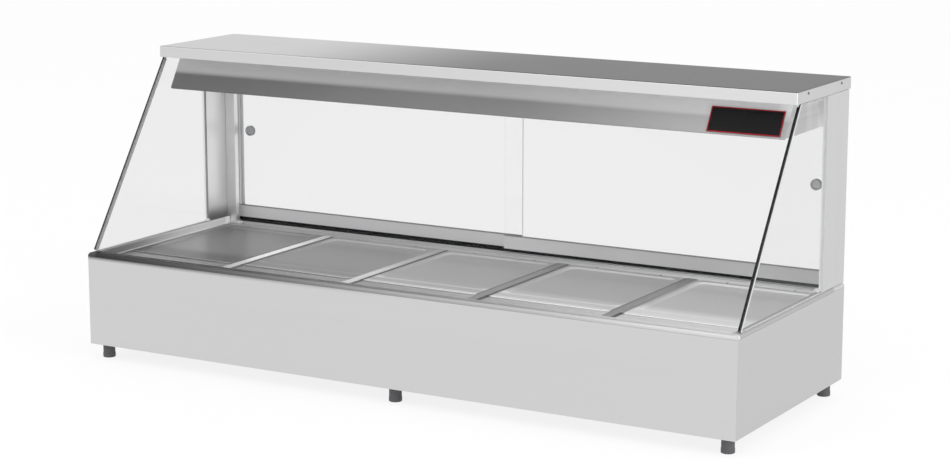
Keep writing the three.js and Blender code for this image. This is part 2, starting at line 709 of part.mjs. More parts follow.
// Display glass. The front glass leans back from the rim to the canopy, and each side glass fills the
// space between it and the post
function frontGlass() {
  const footZ = glassFoot + GLASS * glassSin;
  const section = outline([
    [GLASS_SETBACK, footZ],
    [glassBackFoot, glassFoot],
    [glassBackFoot + glassRise * glassTan, glassFoot + glassRise],
    [glassHeadFront, headHeight],
  ]);
  const side = baseSide - GLASS_SIDE_INSET;
  return piece('front_glass', alongX(section, -side, side), looks.glass);
}

function sideGlass(side) {
  const front = glassBackFoot + SEAT_GAP / glassCos;
  const rear = postFront - SEAT_GAP;
  const section = outline([
    [front, glassFoot],
    [rear, glassFoot],
    [rear, headHeight],
    [front + (headHeight - glassFoot) * glassTan, headHeight],
  ]);
  const outer = side * (baseSide - GLASS_SIDE_INSET);
  const inner = outer - side * GLASS;
  const pane = alongX(section, Math.min(outer, inner), Math.max(outer, inner));
  return piece(side < 0 ? 'side_glass_left' : 'side_glass_right', pane, looks.glass);
}

// Posts, and door jambs that stand on the deck and reach over the rim to the posts
function rearPost(side) {
  const shape = rectangle(-postOuter, postFront, -postInner, BASE_DEPTH);
  shape.holes = [rectanglePath(
    -postOuter + POST_SHEET, postFront + POST_SHEET,
    -postInner - POST_SHEET, BASE_DEPTH - POST_SHEET,
  )];
  const post = upward(shape, glassFoot, headHeight);
  if (side > 0) {
    post.rotateZ(Math.PI).translate(0, postFront + BASE_DEPTH, 0);
  }
  return piece(side < 0 ? 'rear_post_left' : 'rear_post_right', post, looks.steel);
}

function doorJamb(side) {
  const points = [
    [jambInner, jambFront],
    [jambOuter, jambFront],
    [jambOuter, BASE_DEPTH],
    [jambInner, BASE_DEPTH],
    [jambInner, BASE_DEPTH - JAMB_REAR_LEG],
    [pocketSide, BASE_DEPTH - JAMB_REAR_LEG],
    [pocketSide, jambFront + JAMB_FRONT_LEG],
    [jambInner, jambFront + JAMB_FRONT_LEG],
  ];
  const shape = outline(points.map(([x, y]) => [side * x, y]));
  const upright = upward(shape, deckTop + SEAT_GAP, headHeight);
  const wingInner = side * (jambOuter - WELD_LAP);
  const wingOuter = side * (postInner - SEAT_GAP);
  const wing = block(
    Math.min(wingInner, wingOuter), jambFront, glassFoot,
    Math.max(wingInner, wingOuter), BASE_DEPTH, headHeight,
  );
  return piece(side < 0 ? 'door_jamb_left' : 'door_jamb_right', joined(upright, wing), looks.steel);
}

// Door tracks. The lower one has a rib under each door, the upper one a groove over each door
const trackRear = doorCentres.left + DOOR_RAIL_THICKNESS / 2 + SEAT_GAP;

function lowerDoorTrack() {
  const points = [[trackFront, trackFoot], [trackRear, trackFoot], [trackRear, trackFloor]];
  for (const centre of [doorCentres.left, doorCentres.right]) {
    points.push(
      [centre + TRACK_RIB_WIDTH / 2, trackFloor],
      [centre + TRACK_RIB_WIDTH / 2, trackRibTop],
      [centre - TRACK_RIB_WIDTH / 2, trackRibTop],
      [centre - TRACK_RIB_WIDTH / 2, trackFloor],
    );
  }
  points.push([trackFront, trackFloor]);
  const side = jambInner - SEAT_GAP;
  return piece('lower_door_track', alongX(outline(points), -side, side), looks.darkSteel);
}

function upperDoorTrack() {
  const foot = headHeight - HEAD_TRACK_HEIGHT;
  const grooveTop = headHeight - HEAD_TRACK_WEB;
  const grooveHalf = DOOR_GLASS / 2 + DOOR_GUIDE_CLEARANCE;
  const points = [[doorCentres.right - grooveHalf - HEAD_TRACK_SIDE, foot]];
  for (const centre of [doorCentres.right, doorCentres.left]) {
    points.push(
      [centre - grooveHalf, foot],
      [centre - grooveHalf, grooveTop],
      [centre + grooveHalf, grooveTop],
      [centre + grooveHalf, foot],
    );
  }
  points.push(
    [doorCentres.left + grooveHalf + HEAD_TRACK_SIDE, foot],
    [doorCentres.left + grooveHalf + HEAD_TRACK_SIDE, headHeight],
    [doorCentres.right - grooveHalf - HEAD_TRACK_SIDE, headHeight],
  );
  const side = jambInner - SEAT_GAP;
  return piece('upper_door_track', alongX(outline(points), -side, side), looks.aluminium);
}

// Sliding doors: a pane in a bottom rail that straddles its rib, with a round finger pull
const railFoot = trackFloor + TRACK_SHADOW_GAP;
const railTop = railFoot + DOOR_RAIL_HEIGHT;
const paneFoot = railTop - DOOR_RAIL_GLASS_BITE;
const paneTop = headHeight - HEAD_TRACK_WEB - DOOR_HEAD_CLEARANCE;

function doorEnds(side) {
  const inner = DOOR_LAP / 2;
  return side < 0 ? [-doorOuterEnd, inner] : [-inner, doorOuterEnd];
}

function pullCentre(side) {
  return side * (doorOuterEnd - PULL_SIDE_INSET);
}

function doorGlass(side, name) {
  const [x0, x1] = doorEnds(side);
  const centre = doorCentres[name];
  const shape = rectangle(x0, paneFoot, x1, paneTop);
  shape.holes = [circlePath(pullCentre(side), PULL_HEIGHT, PULL_BARREL_RADIUS + SEAT_GAP, ROUND_SIDES)];
  const pane = alongY(shape, centre - DOOR_GLASS / 2, centre + DOOR_GLASS / 2);
  return piece(`door_glass_${name}`, pane, looks.glass);
}

function doorRail(side, name) {
  const [x0, x1] = doorEnds(side);
  const centre = doorCentres[name];
  const half = DOOR_RAIL_THICKNESS / 2;
  const ribHalf = TRACK_RIB_WIDTH / 2 + DOOR_GUIDE_CLEARANCE;
  const ribRoof = trackRibTop + SEAT_GAP;
  const paneHalf = DOOR_GLASS / 2 + SEAT_GAP;
  const paneFloor = paneFoot - SEAT_GAP;
  const points = [
    [-half, railFoot], [-ribHalf, railFoot], [-ribHalf, ribRoof], [ribHalf, ribRoof],
    [ribHalf, railFoot], [half, railFoot], [half, railTop], [paneHalf, railTop],
    [paneHalf, paneFloor], [-paneHalf, paneFloor], [-paneHalf, railTop], [-half, railTop],
  ];
  const section = outline(points.map(([y, z]) => [centre + y, z]));
  return piece(`door_rail_${name}`, alongX(section, x0, x1), looks.aluminium);
}

function doorPull(side, name) {
  const face = DOOR_GLASS / 2 + SEAT_GAP;
  const proud = face + PULL_FLANGE;
  const dishFloor = proud - PULL_DISH_DEPTH;
  const half = [
    [0, dishFloor],
    [PULL_DISH_RADIUS - PULL_FLANGE, dishFloor],
    [PULL_DISH_RADIUS, proud],
    [PULL_RADIUS - PULL_FLANGE / 2, proud],
    [PULL_RADIUS, proud - PULL_FLANGE / 2],
    [PULL_RADIUS, face],
    [PULL_BARREL_RADIUS, face],
  ];
  const mirrored = half.toReversed().map(([r, y]) => [r, -y]);
  const profile = [...half, ...mirrored].toReversed();
  const pull = piece(`door_pull_${name}`, turnedAlongY(profile), looks.aluminium);
  pull.position.set(pullCentre(side), doorCentres[name], PULL_HEIGHT);
  return pull;
}

// Canopy: a sheet cover with rounded edges, open below, and the liner that closes it
function canopyCover() {
  const edge = CANOPY_EDGE_RADIUS;
  const ring = (inset, z, radius) => roundedRing(
    -canopySide + inset, canopyFront + inset, canopySide - inset, canopyRear - inset, z, radius,
  );
  const innerRadius = CANOPY_CORNER_RADIUS - CANOPY_SHEET;
  const rings = [
    ring(CANOPY_SHEET, canopyTop - CANOPY_SHEET, innerRadius),
    ring(CANOPY_SHEET, CANOPY_UNDERSIDE, innerRadius),
    ring(0, CANOPY_UNDERSIDE, CANOPY_CORNER_RADIUS),
    ...bend(edge, canopyTop - edge, edge, 180, 90).map(([inset, z]) => (
      ring(inset, z, Math.max(CANOPY_CORNER_RADIUS - inset, innerRadius / 2))
    )),
  ];
  return piece('canopy_cover', loft(rings, ontoLevel), looks.steel);
}

function canopyLiner() {
  const inset = CANOPY_SHEET + SEAT_GAP;
  const sheet = block(
    -canopySide + inset, canopyFront + inset, CANOPY_UNDERSIDE,
    canopySide - inset, canopyRear - inset, CANOPY_UNDERSIDE + LINER_SHEET,
  );
  return piece('canopy_liner', sheet, looks.steel);
}

// Lamp hood: a closed sheet box with a sloped front, open below
const hoodRun = HOOD_LEAN_RUN / HOOD_DROP; // how far back the front goes per height

function lampHood() {
  const section = (sheet, foot, top) => {
    const frontAt = (z) => hoodFront + (z - hoodFoot) * hoodRun + sheet * Math.hypot(1, hoodRun);
    return outline([
      [frontAt(foot), foot],
      [hoodRear - sheet, foot],
      [hoodRear - sheet, top],
      [frontAt(top), top],
    ]);
  };
  const outer = alongX(section(0, hoodFoot, headHeight), -hoodSide, hoodSide);
  const innerSection = section(HOOD_SHEET, hoodFoot - CUT_OVERRUN, hoodCeiling);
  const inner = alongX(innerSection, -hoodSide + HOOD_SHEET, hoodSide - HOOD_SHEET);
  return piece('lamp_hood', cut(outer, inner), looks.brightSteel);
}

const reflectorTop = hoodCeiling - SEAT_GAP;
const reflectorCentre = (hoodFront + HOOD_LEAN_RUN + hoodRear - HOOD_SHEET) / 2;
const reflectorSide = hoodSide - HOOD_SHEET - REFLECTOR_END_CLEARANCE;

function lampReflector() {
  const half = REFLECTOR_TOP_WIDTH / 2;
  const slant = REFLECTOR_SHEET / Math.sin(Math.atan2(REFLECTOR_SIDE_DROP, REFLECTOR_SIDE_RUN));
  const inner = reflectorTop - REFLECTOR_SHEET;
  const foot = reflectorTop - REFLECTOR_SIDE_DROP;
  const points = [
    [-half, reflectorTop],
    [-half - REFLECTOR_SIDE_RUN, foot],
    [-half - REFLECTOR_SIDE_RUN + slant, foot],
    [-half + slant / 2, inner],
    [half - slant / 2, inner],
    [half + REFLECTOR_SIDE_RUN - slant, foot],
    [half + REFLECTOR_SIDE_RUN, foot],
    [half, reflectorTop],
  ];
  const section = outline(points.map(([y, z]) => [reflectorCentre + y, z]));
  return piece('lamp_reflector', alongX(section, -reflectorSide, reflectorSide), looks.brightSteel);
}

// Two quartz heat lamps end to end, each held by a ceramic holder at both ends
const lampAxis = reflectorTop - REFLECTOR_SHEET - LAMP_DROP;
const lampOuterEnd = reflectorSide - LAMP_END_INSET;
const lampInnerEnd = LAMP_MIDDLE_GAP / 2;

function quartzLamp(side) {
  const length = lampOuterEnd - lampInnerEnd;
  const half = length / 2;
  const tube = half - LAMP_CAP_LENGTH;
  const profile = [
    [0, -half],
    [LAMP_CAP_RADIUS, -half],
    [LAMP_CAP_RADIUS, -tube],
    [LAMP_RADIUS, -tube],
    [LAMP_RADIUS, tube],
    [LAMP_CAP_RADIUS, tube],
    [LAMP_CAP_RADIUS, half],
    [0, half],
  ];
  const name = side < 0 ? 'quartz_lamp_left' : 'quartz_lamp_right';
  const lamp = piece(name, turnedAlongX(profile, SMALL_ROUND_SIDES), looks.quartz);
  lamp.position.set(side * (lampInnerEnd + half), reflectorCentre, lampAxis);
  return lamp;
}

function lampHolder(side, end) {
  const half = HOLDER_WIDTH / 2;
  const top = LAMP_DROP - SEAT_GAP;
  const shape = new THREE.Shape();
  shape.moveTo(-half, top);
  shape.lineTo(-half, 0);
  shape.absarc(0, 0, Math.min(half, LAMP_CAP_RADIUS + HOLDER_WALL), Math.PI, 2 * Math.PI, false);
  shape.lineTo(half, 0);
  shape.lineTo(half, top);
  shape.holes = [circlePath(0, 0, LAMP_CAP_RADIUS + SEAT_GAP)];
  const inset = HOLDER_OVERHANG + HOLDER_LENGTH / 2;
  const centre = end === 'outer' ? lampOuterEnd - inset : lampInnerEnd + inset;
  const body = alongX(shape, -HOLDER_LENGTH / 2, HOLDER_LENGTH / 2, ROUND_SIDES / 2);
  const name = `lamp_holder_${side < 0 ? 'left' : 'right'}_${end}`;
  const holder = piece(name, body, looks.ceramic);
  holder.position.set(side * centre, reflectorCentre, lampAxis);
  return holder;
}

// Bare plate on the sloped front of the hood, near its right end
function badgePlate() {
  const up = new THREE.Vector2(HOOD_LEAN_RUN, HOOD_DROP).normalize();
  const out = new THREE.Vector2(-up.y, up.x);
  const at = (along, proud) => [
    hoodFront + up.x * along + out.x * proud,
    hoodFoot + up.y * along + out.y * proud,
  ];
  const lower = BADGE_EDGE_MARGIN;
  const upper = BADGE_EDGE_MARGIN + BADGE_HEIGHT;
  const face = SEAT_GAP + BADGE_THICKNESS;
  const section = outline([at(lower, SEAT_GAP), at(upper, SEAT_GAP), at(upper, face), at(lower, face)]);
  const right = hoodSide - BADGE_SIDE_INSET;
  return piece('badge_plate', alongX(section, right - BADGE_WIDTH, right), looks.blackPlastic);
}

// Controls: a plate over a cut-out in the rear panel, with a thermostat, two switches and a pilot lamp
const controlFace = rearPanelFace + SEAT_GAP + CONTROL_SHEET;
const controlBack = rearPanelFace + SEAT_GAP;
const controlPlaceShares = { knob: -0.28, heat: 0, lamp: 0.19, pilot: 0.36 }; // of the plate's width

function controlX(name) {
  return controlCentre() - controlPlaceShares[name] * CONTROL_WIDTH;
}

// Solids that cut the plate: a block for a switch's body, a cylinder for a shaft or stem
function switchCutter(x) {
  const reachX = SWITCH_WIDTH / 2 - SWITCH_FLANGE_LAP + SEAT_GAP;
  const reachZ = SWITCH_HEIGHT / 2 - SWITCH_FLANGE_LAP + SEAT_GAP;
  return block(
    x - reachX, controlBack - CUT_OVERRUN, CONTROL_CENTRE_HEIGHT - reachZ,
    x + reachX, controlFace + CUT_OVERRUN, CONTROL_CENTRE_HEIGHT + reachZ,
  );
}

function roundCutter(x, radius) {
  const circle = outline(bend(x, CONTROL_CENTRE_HEIGHT, radius, 0, 360 - 360 / ROUND_SIDES, ROUND_SIDES - 1));
  return alongY(circle, controlBack - CUT_OVERRUN, controlFace + CUT_OVERRUN);
}

function controlPanel() {
  const ring = roundedRing(
    controlCentre() - CONTROL_WIDTH / 2, CONTROL_CENTRE_HEIGHT - CONTROL_HEIGHT / 2,
    controlCentre() + CONTROL_WIDTH / 2, CONTROL_CENTRE_HEIGHT + CONTROL_HEIGHT / 2,
    0, CONTROL_CORNER_RADIUS,
  );
  const plate = cut(
    alongY(new THREE.Shape(ring.map(ontoLevel)), controlBack, controlFace),
    roundCutter(controlX('knob'), SHAFT_RADIUS + SEAT_GAP),
    switchCutter(controlX('heat')),
    switchCutter(controlX('lamp')),
    roundCutter(controlX('pilot'), PILOT_STEM_RADIUS + SEAT_GAP),
  );
  return piece('control_panel', plate, looks.darkSteel);
}

function thermostat() {
  const back = controlBack - SEAT_GAP;
  const half = THERMOSTAT_SIZE / 2;
  const body = block(-half, back - THERMOSTAT_DEPTH, -half, half, back, half);
  const shaftEnd = controlFace + SHAFT_LENGTH;
  const shaft = turnedAlongY([
    [0, back - WELD_LAP],
    [SHAFT_RADIUS, back - WELD_LAP],
    [SHAFT_RADIUS, shaftEnd],
    [0, shaftEnd],
  ], SMALL_ROUND_SIDES);
  const unit = piece('thermostat', joined(body, shaft), looks.blackPlastic);
  unit.position.set(controlX('knob'), 0, CONTROL_CENTRE_HEIGHT);
  return unit;
}

// Knob with a round skirt and a chamfered grip bar across it, bored for the shaft
function thermostatKnob() {
  const foot = controlFace + SEAT_GAP;
  const top = foot + KNOB_HEIGHT;
  const skirtTop = foot + KNOB_SKIRT;
  const hub = turnedAlongY([
    [0, foot],
    [KNOB_RADIUS - KNOB_CHAMFER, foot],
    [KNOB_RADIUS, foot + KNOB_CHAMFER],
    [KNOB_RADIUS, skirtTop - KNOB_CHAMFER],
    [KNOB_RADIUS - KNOB_CHAMFER, skirtTop],
    [0, skirtTop],
  ]);
  const barHalf = KNOB_BAR_WIDTH / 2;
  const section = outline([
    [-barHalf, skirtTop - WELD_LAP],
    [barHalf, skirtTop - WELD_LAP],
    [barHalf - KNOB_CHAMFER / 2, top - KNOB_CHAMFER],
    [barHalf - 2 * KNOB_CHAMFER, top],
    [-barHalf + 2 * KNOB_CHAMFER, top],
    [-barHalf + KNOB_CHAMFER / 2, top - KNOB_CHAMFER],
  ].map(([x, y]) => [x, -y]));
  const bar = upward(section, -KNOB_GRIP_RADIUS, KNOB_GRIP_RADIUS).rotateZ(Math.PI);
  const bore = SHAFT_RADIUS + SEAT_GAP;
  const boreEnd = controlFace + SHAFT_LENGTH + SEAT_GAP;
  const hole = turnedAlongY([
    [0, foot - CUT_OVERRUN],
    [bore, foot - CUT_OVERRUN],
    [bore, boreEnd],
    [0, boreEnd],
  ], SMALL_ROUND_SIDES);
  const knob = piece('thermostat_knob', cut(joined(hub, bar), hole), looks.blackPlastic);
  knob.position.set(controlX('knob'), 0, CONTROL_CENTRE_HEIGHT);
  return knob;
}

const switchFace = controlFace + SEAT_GAP + SWITCH_FLANGE;
const rockerPivot = switchFace - ROCKER_PIVOT_DEPTH;
const rockerHalf = SWITCH_HEIGHT / 2 - SWITCH_FLANGE_LAP - SWITCH_WALL - ROCKER_END_CLEARANCE;
const rockerPocketSide = SWITCH_WIDTH / 2 - SWITCH_FLANGE_LAP - SWITCH_WALL;
const rockerPocketEnd = SWITCH_HEIGHT / 2 - SWITCH_FLANGE_LAP - SWITCH_WALL;
const rockerSide = rockerPocketSide - SEAT_GAP;

function pivotPin(reach, radius) {
  const pin = [[0, -reach], [radius, -reach], [radius, reach], [0, reach]];
  return turnedAlongX(pin, SMALL_ROUND_SIDES).translate(0, rockerPivot, 0);
}

function switchHousing(name) {
  const bodySide = SWITCH_WIDTH / 2 - SWITCH_FLANGE_LAP;
  const bodyEnd = SWITCH_HEIGHT / 2 - SWITCH_FLANGE_LAP;
  const flange = block(
    -SWITCH_WIDTH / 2, controlFace + SEAT_GAP, -SWITCH_HEIGHT / 2,
    SWITCH_WIDTH / 2, switchFace, SWITCH_HEIGHT / 2,
  );
  const body = block(
    -bodySide, controlFace + SEAT_GAP - SWITCH_DEPTH, -bodyEnd,
    bodySide, controlFace + SEAT_GAP + WELD_LAP, bodyEnd,
  );
  const pocket = block(
    -rockerPocketSide, switchFace - SWITCH_POCKET_DEPTH, -rockerPocketEnd,
    rockerPocketSide, switchFace + CUT_OVERRUN, rockerPocketEnd,
  );
  const pinHole = pivotPin(rockerSide + ROCKER_PIN_REACH + SEAT_GAP, ROCKER_PIN_RADIUS + SEAT_GAP);
  const housing = piece(`switch_housing_${name}`, cut(joined(flange, body), pocket, pinHole), looks.blackPlastic);
  housing.position.set(controlX(name), 0, CONTROL_CENTRE_HEIGHT);
  return housing;
}

// Rocker with a shallow V face, modelled switched off: tipped about the pin through its middle
function switchRocker(name) {
  const section = outline([
    [-ROCKER_BACK, -rockerHalf + ROCKER_BACK],
    [ROCKER_END_RISE, -rockerHalf],
    [ROCKER_MIDDLE_RISE, 0],
    [ROCKER_END_RISE, rockerHalf],
    [-ROCKER_BACK, rockerHalf - ROCKER_BACK],
  ]);
  const body = alongX(section, -rockerSide, rockerSide);
  body.rotateX(-ROCKER_TILT).translate(0, rockerPivot, 0);
  const pin = pivotPin(rockerSide + ROCKER_PIN_REACH, ROCKER_PIN_RADIUS);
  const rocker = piece(`switch_rocker_${name}`, joined(body, pin), looks.redPlastic);
  rocker.position.set(controlX(name), 0, CONTROL_CENTRE_HEIGHT);
  return rocker;
}

function pilotLamp() {
  const face = controlFace + SEAT_GAP;
  const dome = bend(0, 0, PILOT_RADIUS, 0, 90, CORNER_STEPS).map(([r, y]) => (
    [r, face + y * PILOT_RISE / PILOT_RADIUS]
  ));
  dome[dome.length - 1][0] = 0;
  const lens = turnedAlongY([
    [0, controlFace - PILOT_STEM_LENGTH],
    [PILOT_STEM_RADIUS, controlFace - PILOT_STEM_LENGTH],
    [PILOT_STEM_RADIUS, face],
    ...dome,
  ], SMALL_ROUND_SIDES);
  const lamp = piece('pilot_lamp', lens, looks.redPlastic);
  lamp.position.set(controlX('pilot'), 0, CONTROL_CENTRE_HEIGHT);
  return lamp;
}

// Cable gland: a six-sided nut with a round nose and a bore, its stem through the rear panel
function cableGland() {
  const face = rearPanelFace + SEAT_GAP;
  const nutTop = face + GLAND_NUT_THICKNESS;
  const noseTop = nutTop + GLAND_NOSE_LENGTH;
  const stemEnd = face - GLAND_STEM_LENGTH;
  const hexSides = 6;
  const nut = turnedAlongY([[0, face], [GLAND_RADIUS, face], [GLAND_RADIUS, nutTop], [0, nutTop]], hexSides);
  const nose = turnedAlongY([
    [0, stemEnd],
    [GLAND_STEM_RADIUS, stemEnd],
    [GLAND_STEM_RADIUS, face + WELD_LAP],
    [GLAND_NOSE_RADIUS, face + WELD_LAP],
    [GLAND_NOSE_RADIUS, nutTop],
    [GLAND_BORE_RADIUS + WELD_LAP, noseTop],
    [0, noseTop],
  ]);
  const bore = turnedAlongY([
    [0, stemEnd - CUT_OVERRUN],
    [GLAND_BORE_RADIUS, stemEnd - CUT_OVERRUN],
    [GLAND_BORE_RADIUS, noseTop + CUT_OVERRUN],
    [0, noseTop + CUT_OVERRUN],
  ]);
  const gland = piece('cable_gland', cut(joined(nut, nose), bore), looks.blackPlastic);
  gland.position.set(glandCentre(), 0, GLAND_HEIGHT);
  return gland;
}

// The whole case
function group(...parts) {
  const all = new THREE.Group();
  all.add(...parts);
  return all;
}

const sides = [-1, 1];
const sideNames = { '-1': 'left', 1: 'right' };
const base = group(
  baseFrontPanel(), ...sides.map(baseSidePanel), baseRearPanel(), baseFloor(), ...feet(), deckFrame(),
);
const bays = group(
  ...Array.from({ length: BAY_COUNT - 1 }, (_, i) => dividerBar(i + 1)),
  ...Array.from({ length: BAY_COUNT }, (_, i) => foodTray(i + 1)),
  wellTank(),
  ...sides.map(heatingElement),
);
const glazing = group(frontGlass(), ...sides.map(sideGlass));
const rearFrame = group(...sides.map(rearPost), ...sides.map(doorJamb), lowerDoorTrack(), upperDoorTrack());
const doors = group(...sides.flatMap((side) => {
  const name = sideNames[side];
  return [doorGlass(side, name), doorRail(side, name), doorPull(side, name)];
}));
const canopy = group(
  canopyCover(), canopyLiner(), lampHood(), lampReflector(), badgePlate(),
  ...sides.map(quartzLamp),
  ...sides.flatMap((side) => ['inner', 'outer'].map((end) => lampHolder(side, end))),
);
const controls = group(
  controlPanel(), thermostat(), thermostatKnob(), pilotLamp(), cableGland(),
  ...['heat', 'lamp'].flatMap((name) => [switchHousing(name), switchRocker(name)]),
);

const displayCase = group(base, bays, glazing, rearFrame, doors, canopy, controls);
displayCase.position.set(0, -Math.max(BASE_DEPTH, canopyRear) / 2, FOOT_HEIGHT);

export default displayCase;
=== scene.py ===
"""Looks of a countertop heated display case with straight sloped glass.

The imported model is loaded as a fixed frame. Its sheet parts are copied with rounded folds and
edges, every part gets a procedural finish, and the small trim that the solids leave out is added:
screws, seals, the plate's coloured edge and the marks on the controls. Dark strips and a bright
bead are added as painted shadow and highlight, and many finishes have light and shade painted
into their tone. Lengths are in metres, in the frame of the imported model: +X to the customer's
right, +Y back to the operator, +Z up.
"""
from __future__ import annotations

import json
import logging
import math
from dataclasses import dataclass, field
from enum import Enum
from typing import Iterable, Sequence, Union

import bmesh
import bpy
from mathutils import Matrix, Vector

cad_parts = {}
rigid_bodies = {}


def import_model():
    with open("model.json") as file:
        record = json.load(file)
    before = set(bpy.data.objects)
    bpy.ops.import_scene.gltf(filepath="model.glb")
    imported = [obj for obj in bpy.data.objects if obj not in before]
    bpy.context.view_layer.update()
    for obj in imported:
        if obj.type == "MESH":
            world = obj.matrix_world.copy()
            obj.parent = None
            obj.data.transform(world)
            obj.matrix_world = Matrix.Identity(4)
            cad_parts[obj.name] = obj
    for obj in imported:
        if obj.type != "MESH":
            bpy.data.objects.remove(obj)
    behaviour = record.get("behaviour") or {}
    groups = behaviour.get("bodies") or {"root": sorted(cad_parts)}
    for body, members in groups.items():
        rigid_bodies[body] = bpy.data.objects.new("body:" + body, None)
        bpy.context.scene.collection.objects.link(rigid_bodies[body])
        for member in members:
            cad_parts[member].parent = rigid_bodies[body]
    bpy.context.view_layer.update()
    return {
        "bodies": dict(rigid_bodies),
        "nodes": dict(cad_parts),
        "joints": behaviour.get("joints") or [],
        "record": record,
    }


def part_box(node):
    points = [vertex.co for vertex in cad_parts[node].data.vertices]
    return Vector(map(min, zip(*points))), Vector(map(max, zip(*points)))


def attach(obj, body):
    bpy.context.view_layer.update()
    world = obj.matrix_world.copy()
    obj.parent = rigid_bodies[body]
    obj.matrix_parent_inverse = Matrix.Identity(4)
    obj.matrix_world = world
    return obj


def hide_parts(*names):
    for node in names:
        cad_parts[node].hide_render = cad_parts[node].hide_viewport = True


LOG = logging.getLogger("display_case")
MM = 0.001
WELD = 1e-6  # points nearer than this become one
FLAT = math.radians(1.0)  # faces that meet below this angle become one
SMOOTH = math.radians(35.0)  # edges below this angle are shaded smooth
SEAT_GAP = 0.3 * MM  # under a seated part, as in the solids
END_GAP = 1.0 * MM  # between a strip of trim and what stands at its end

Value = Union["Shade", float]
Point = Sequence[float]
Pair = tuple[float, float]
Triple = tuple[float, float, float]
Shape = bmesh.types.BMesh
Socket = bpy.types.NodeSocket


class Axis(Enum):
    """A direction of the frame, by the index of its coordinate."""

    X = 0
    Y = 1
    Z = 2

    @property
    def vector(self) -> Vector:
        """The unit vector along this axis."""
        return Vector([float(i == self.value) for i in range(3)])


X, Y, Z = Axis


class Side(Enum):
    """An end of the case, by the sign of its direction along X."""

    LEFT = -1
    RIGHT = 1

    def __str__(self) -> str:
        """The word for it in the names of nodes and pieces."""
        return self.name.lower()

    def outer(self, low: Point, high: Point) -> float:
        """The X of a box's face on this side."""
        return low[0] if self is Side.LEFT else high[0]

    def inner(self, low: Point, high: Point) -> float:
        """The X of a box's face on the other side, towards the case's middle."""
        return high[0] if self is Side.LEFT else low[0]


class Shade:
    """A number in a shader: one socket, with Python's arithmetic on it."""

    def __init__(self, graph: Graph, socket: Socket) -> None:
        """Wraps an output socket that carries a number."""
        self.graph = graph
        self.socket = socket

    def _math(self, operation: str, *values: Value) -> Shade:
        """Adds one Math node and returns its result."""
        node = self.graph.node("ShaderNodeMath", {"operation": operation}, dict(enumerate(values)))
        return Shade(self.graph, node.outputs[0])

    def __add__(self, other: Value) -> Shade:
        """self + other"""
        return self._math("ADD", self, other)

    def __radd__(self, other: float) -> Shade:
        """other + self"""
        return self._math("ADD", other, self)

    def __sub__(self, other: Value) -> Shade:
        """self - other"""
        return self._math("SUBTRACT", self, other)

    def __rsub__(self, other: float) -> Shade:
        """other - self"""
        return self._math("SUBTRACT", other, self)

    def __mul__(self, other: Value) -> Shade:
        """self * other"""
        return self._math("MULTIPLY", self, other)

    def __rmul__(self, other: float) -> Shade:
        """other * self"""
        return self._math("MULTIPLY", other, self)

    def maximum(self, other: Value) -> Shade:
        """The larger of the two."""
        return self._math("MAXIMUM", self, other)

    def magnitude(self) -> Shade:
        """The value without its sign."""
        return self._math("ABSOLUTE", self)

    def above(self, limit: float) -> Shade:
        """1 where the value is above the limit, else 0."""
        return self._math("GREATER_THAN", self, limit)

    def sway(self, amount: float) -> Shade:
        """A noise from 0 to 1 as a swing about zero, by an amount from end to end."""
        return (self - 0.5) * amount

    def ramp(self, start: float, end: float, low: float, high: float) -> Shade:
        """Runs smoothly from low at start to high at end, and stays there beyond.

        Args:
            start: input at which the ramp begins.
            end: input at which it ends.
            low: output up to start.
            high: output from end on.

        Returns:
            The ramped value.
        """
        settings = {"interpolation_type": "SMOOTHSTEP"}
        inputs = {"Value": self, "From Min": start, "From Max": end, "To Min": low, "To Max": high}
        node = self.graph.node("ShaderNodeMapRange", settings, inputs)
        return Shade(self.graph, node.outputs[0])


@dataclass(frozen=True)
class Pattern:
    """A noise: its waves per metre, along each axis or all alike, and its octaves."""

    scale: Union[float, Triple]
    detail: float = 2.0
    weight: float = 0.5


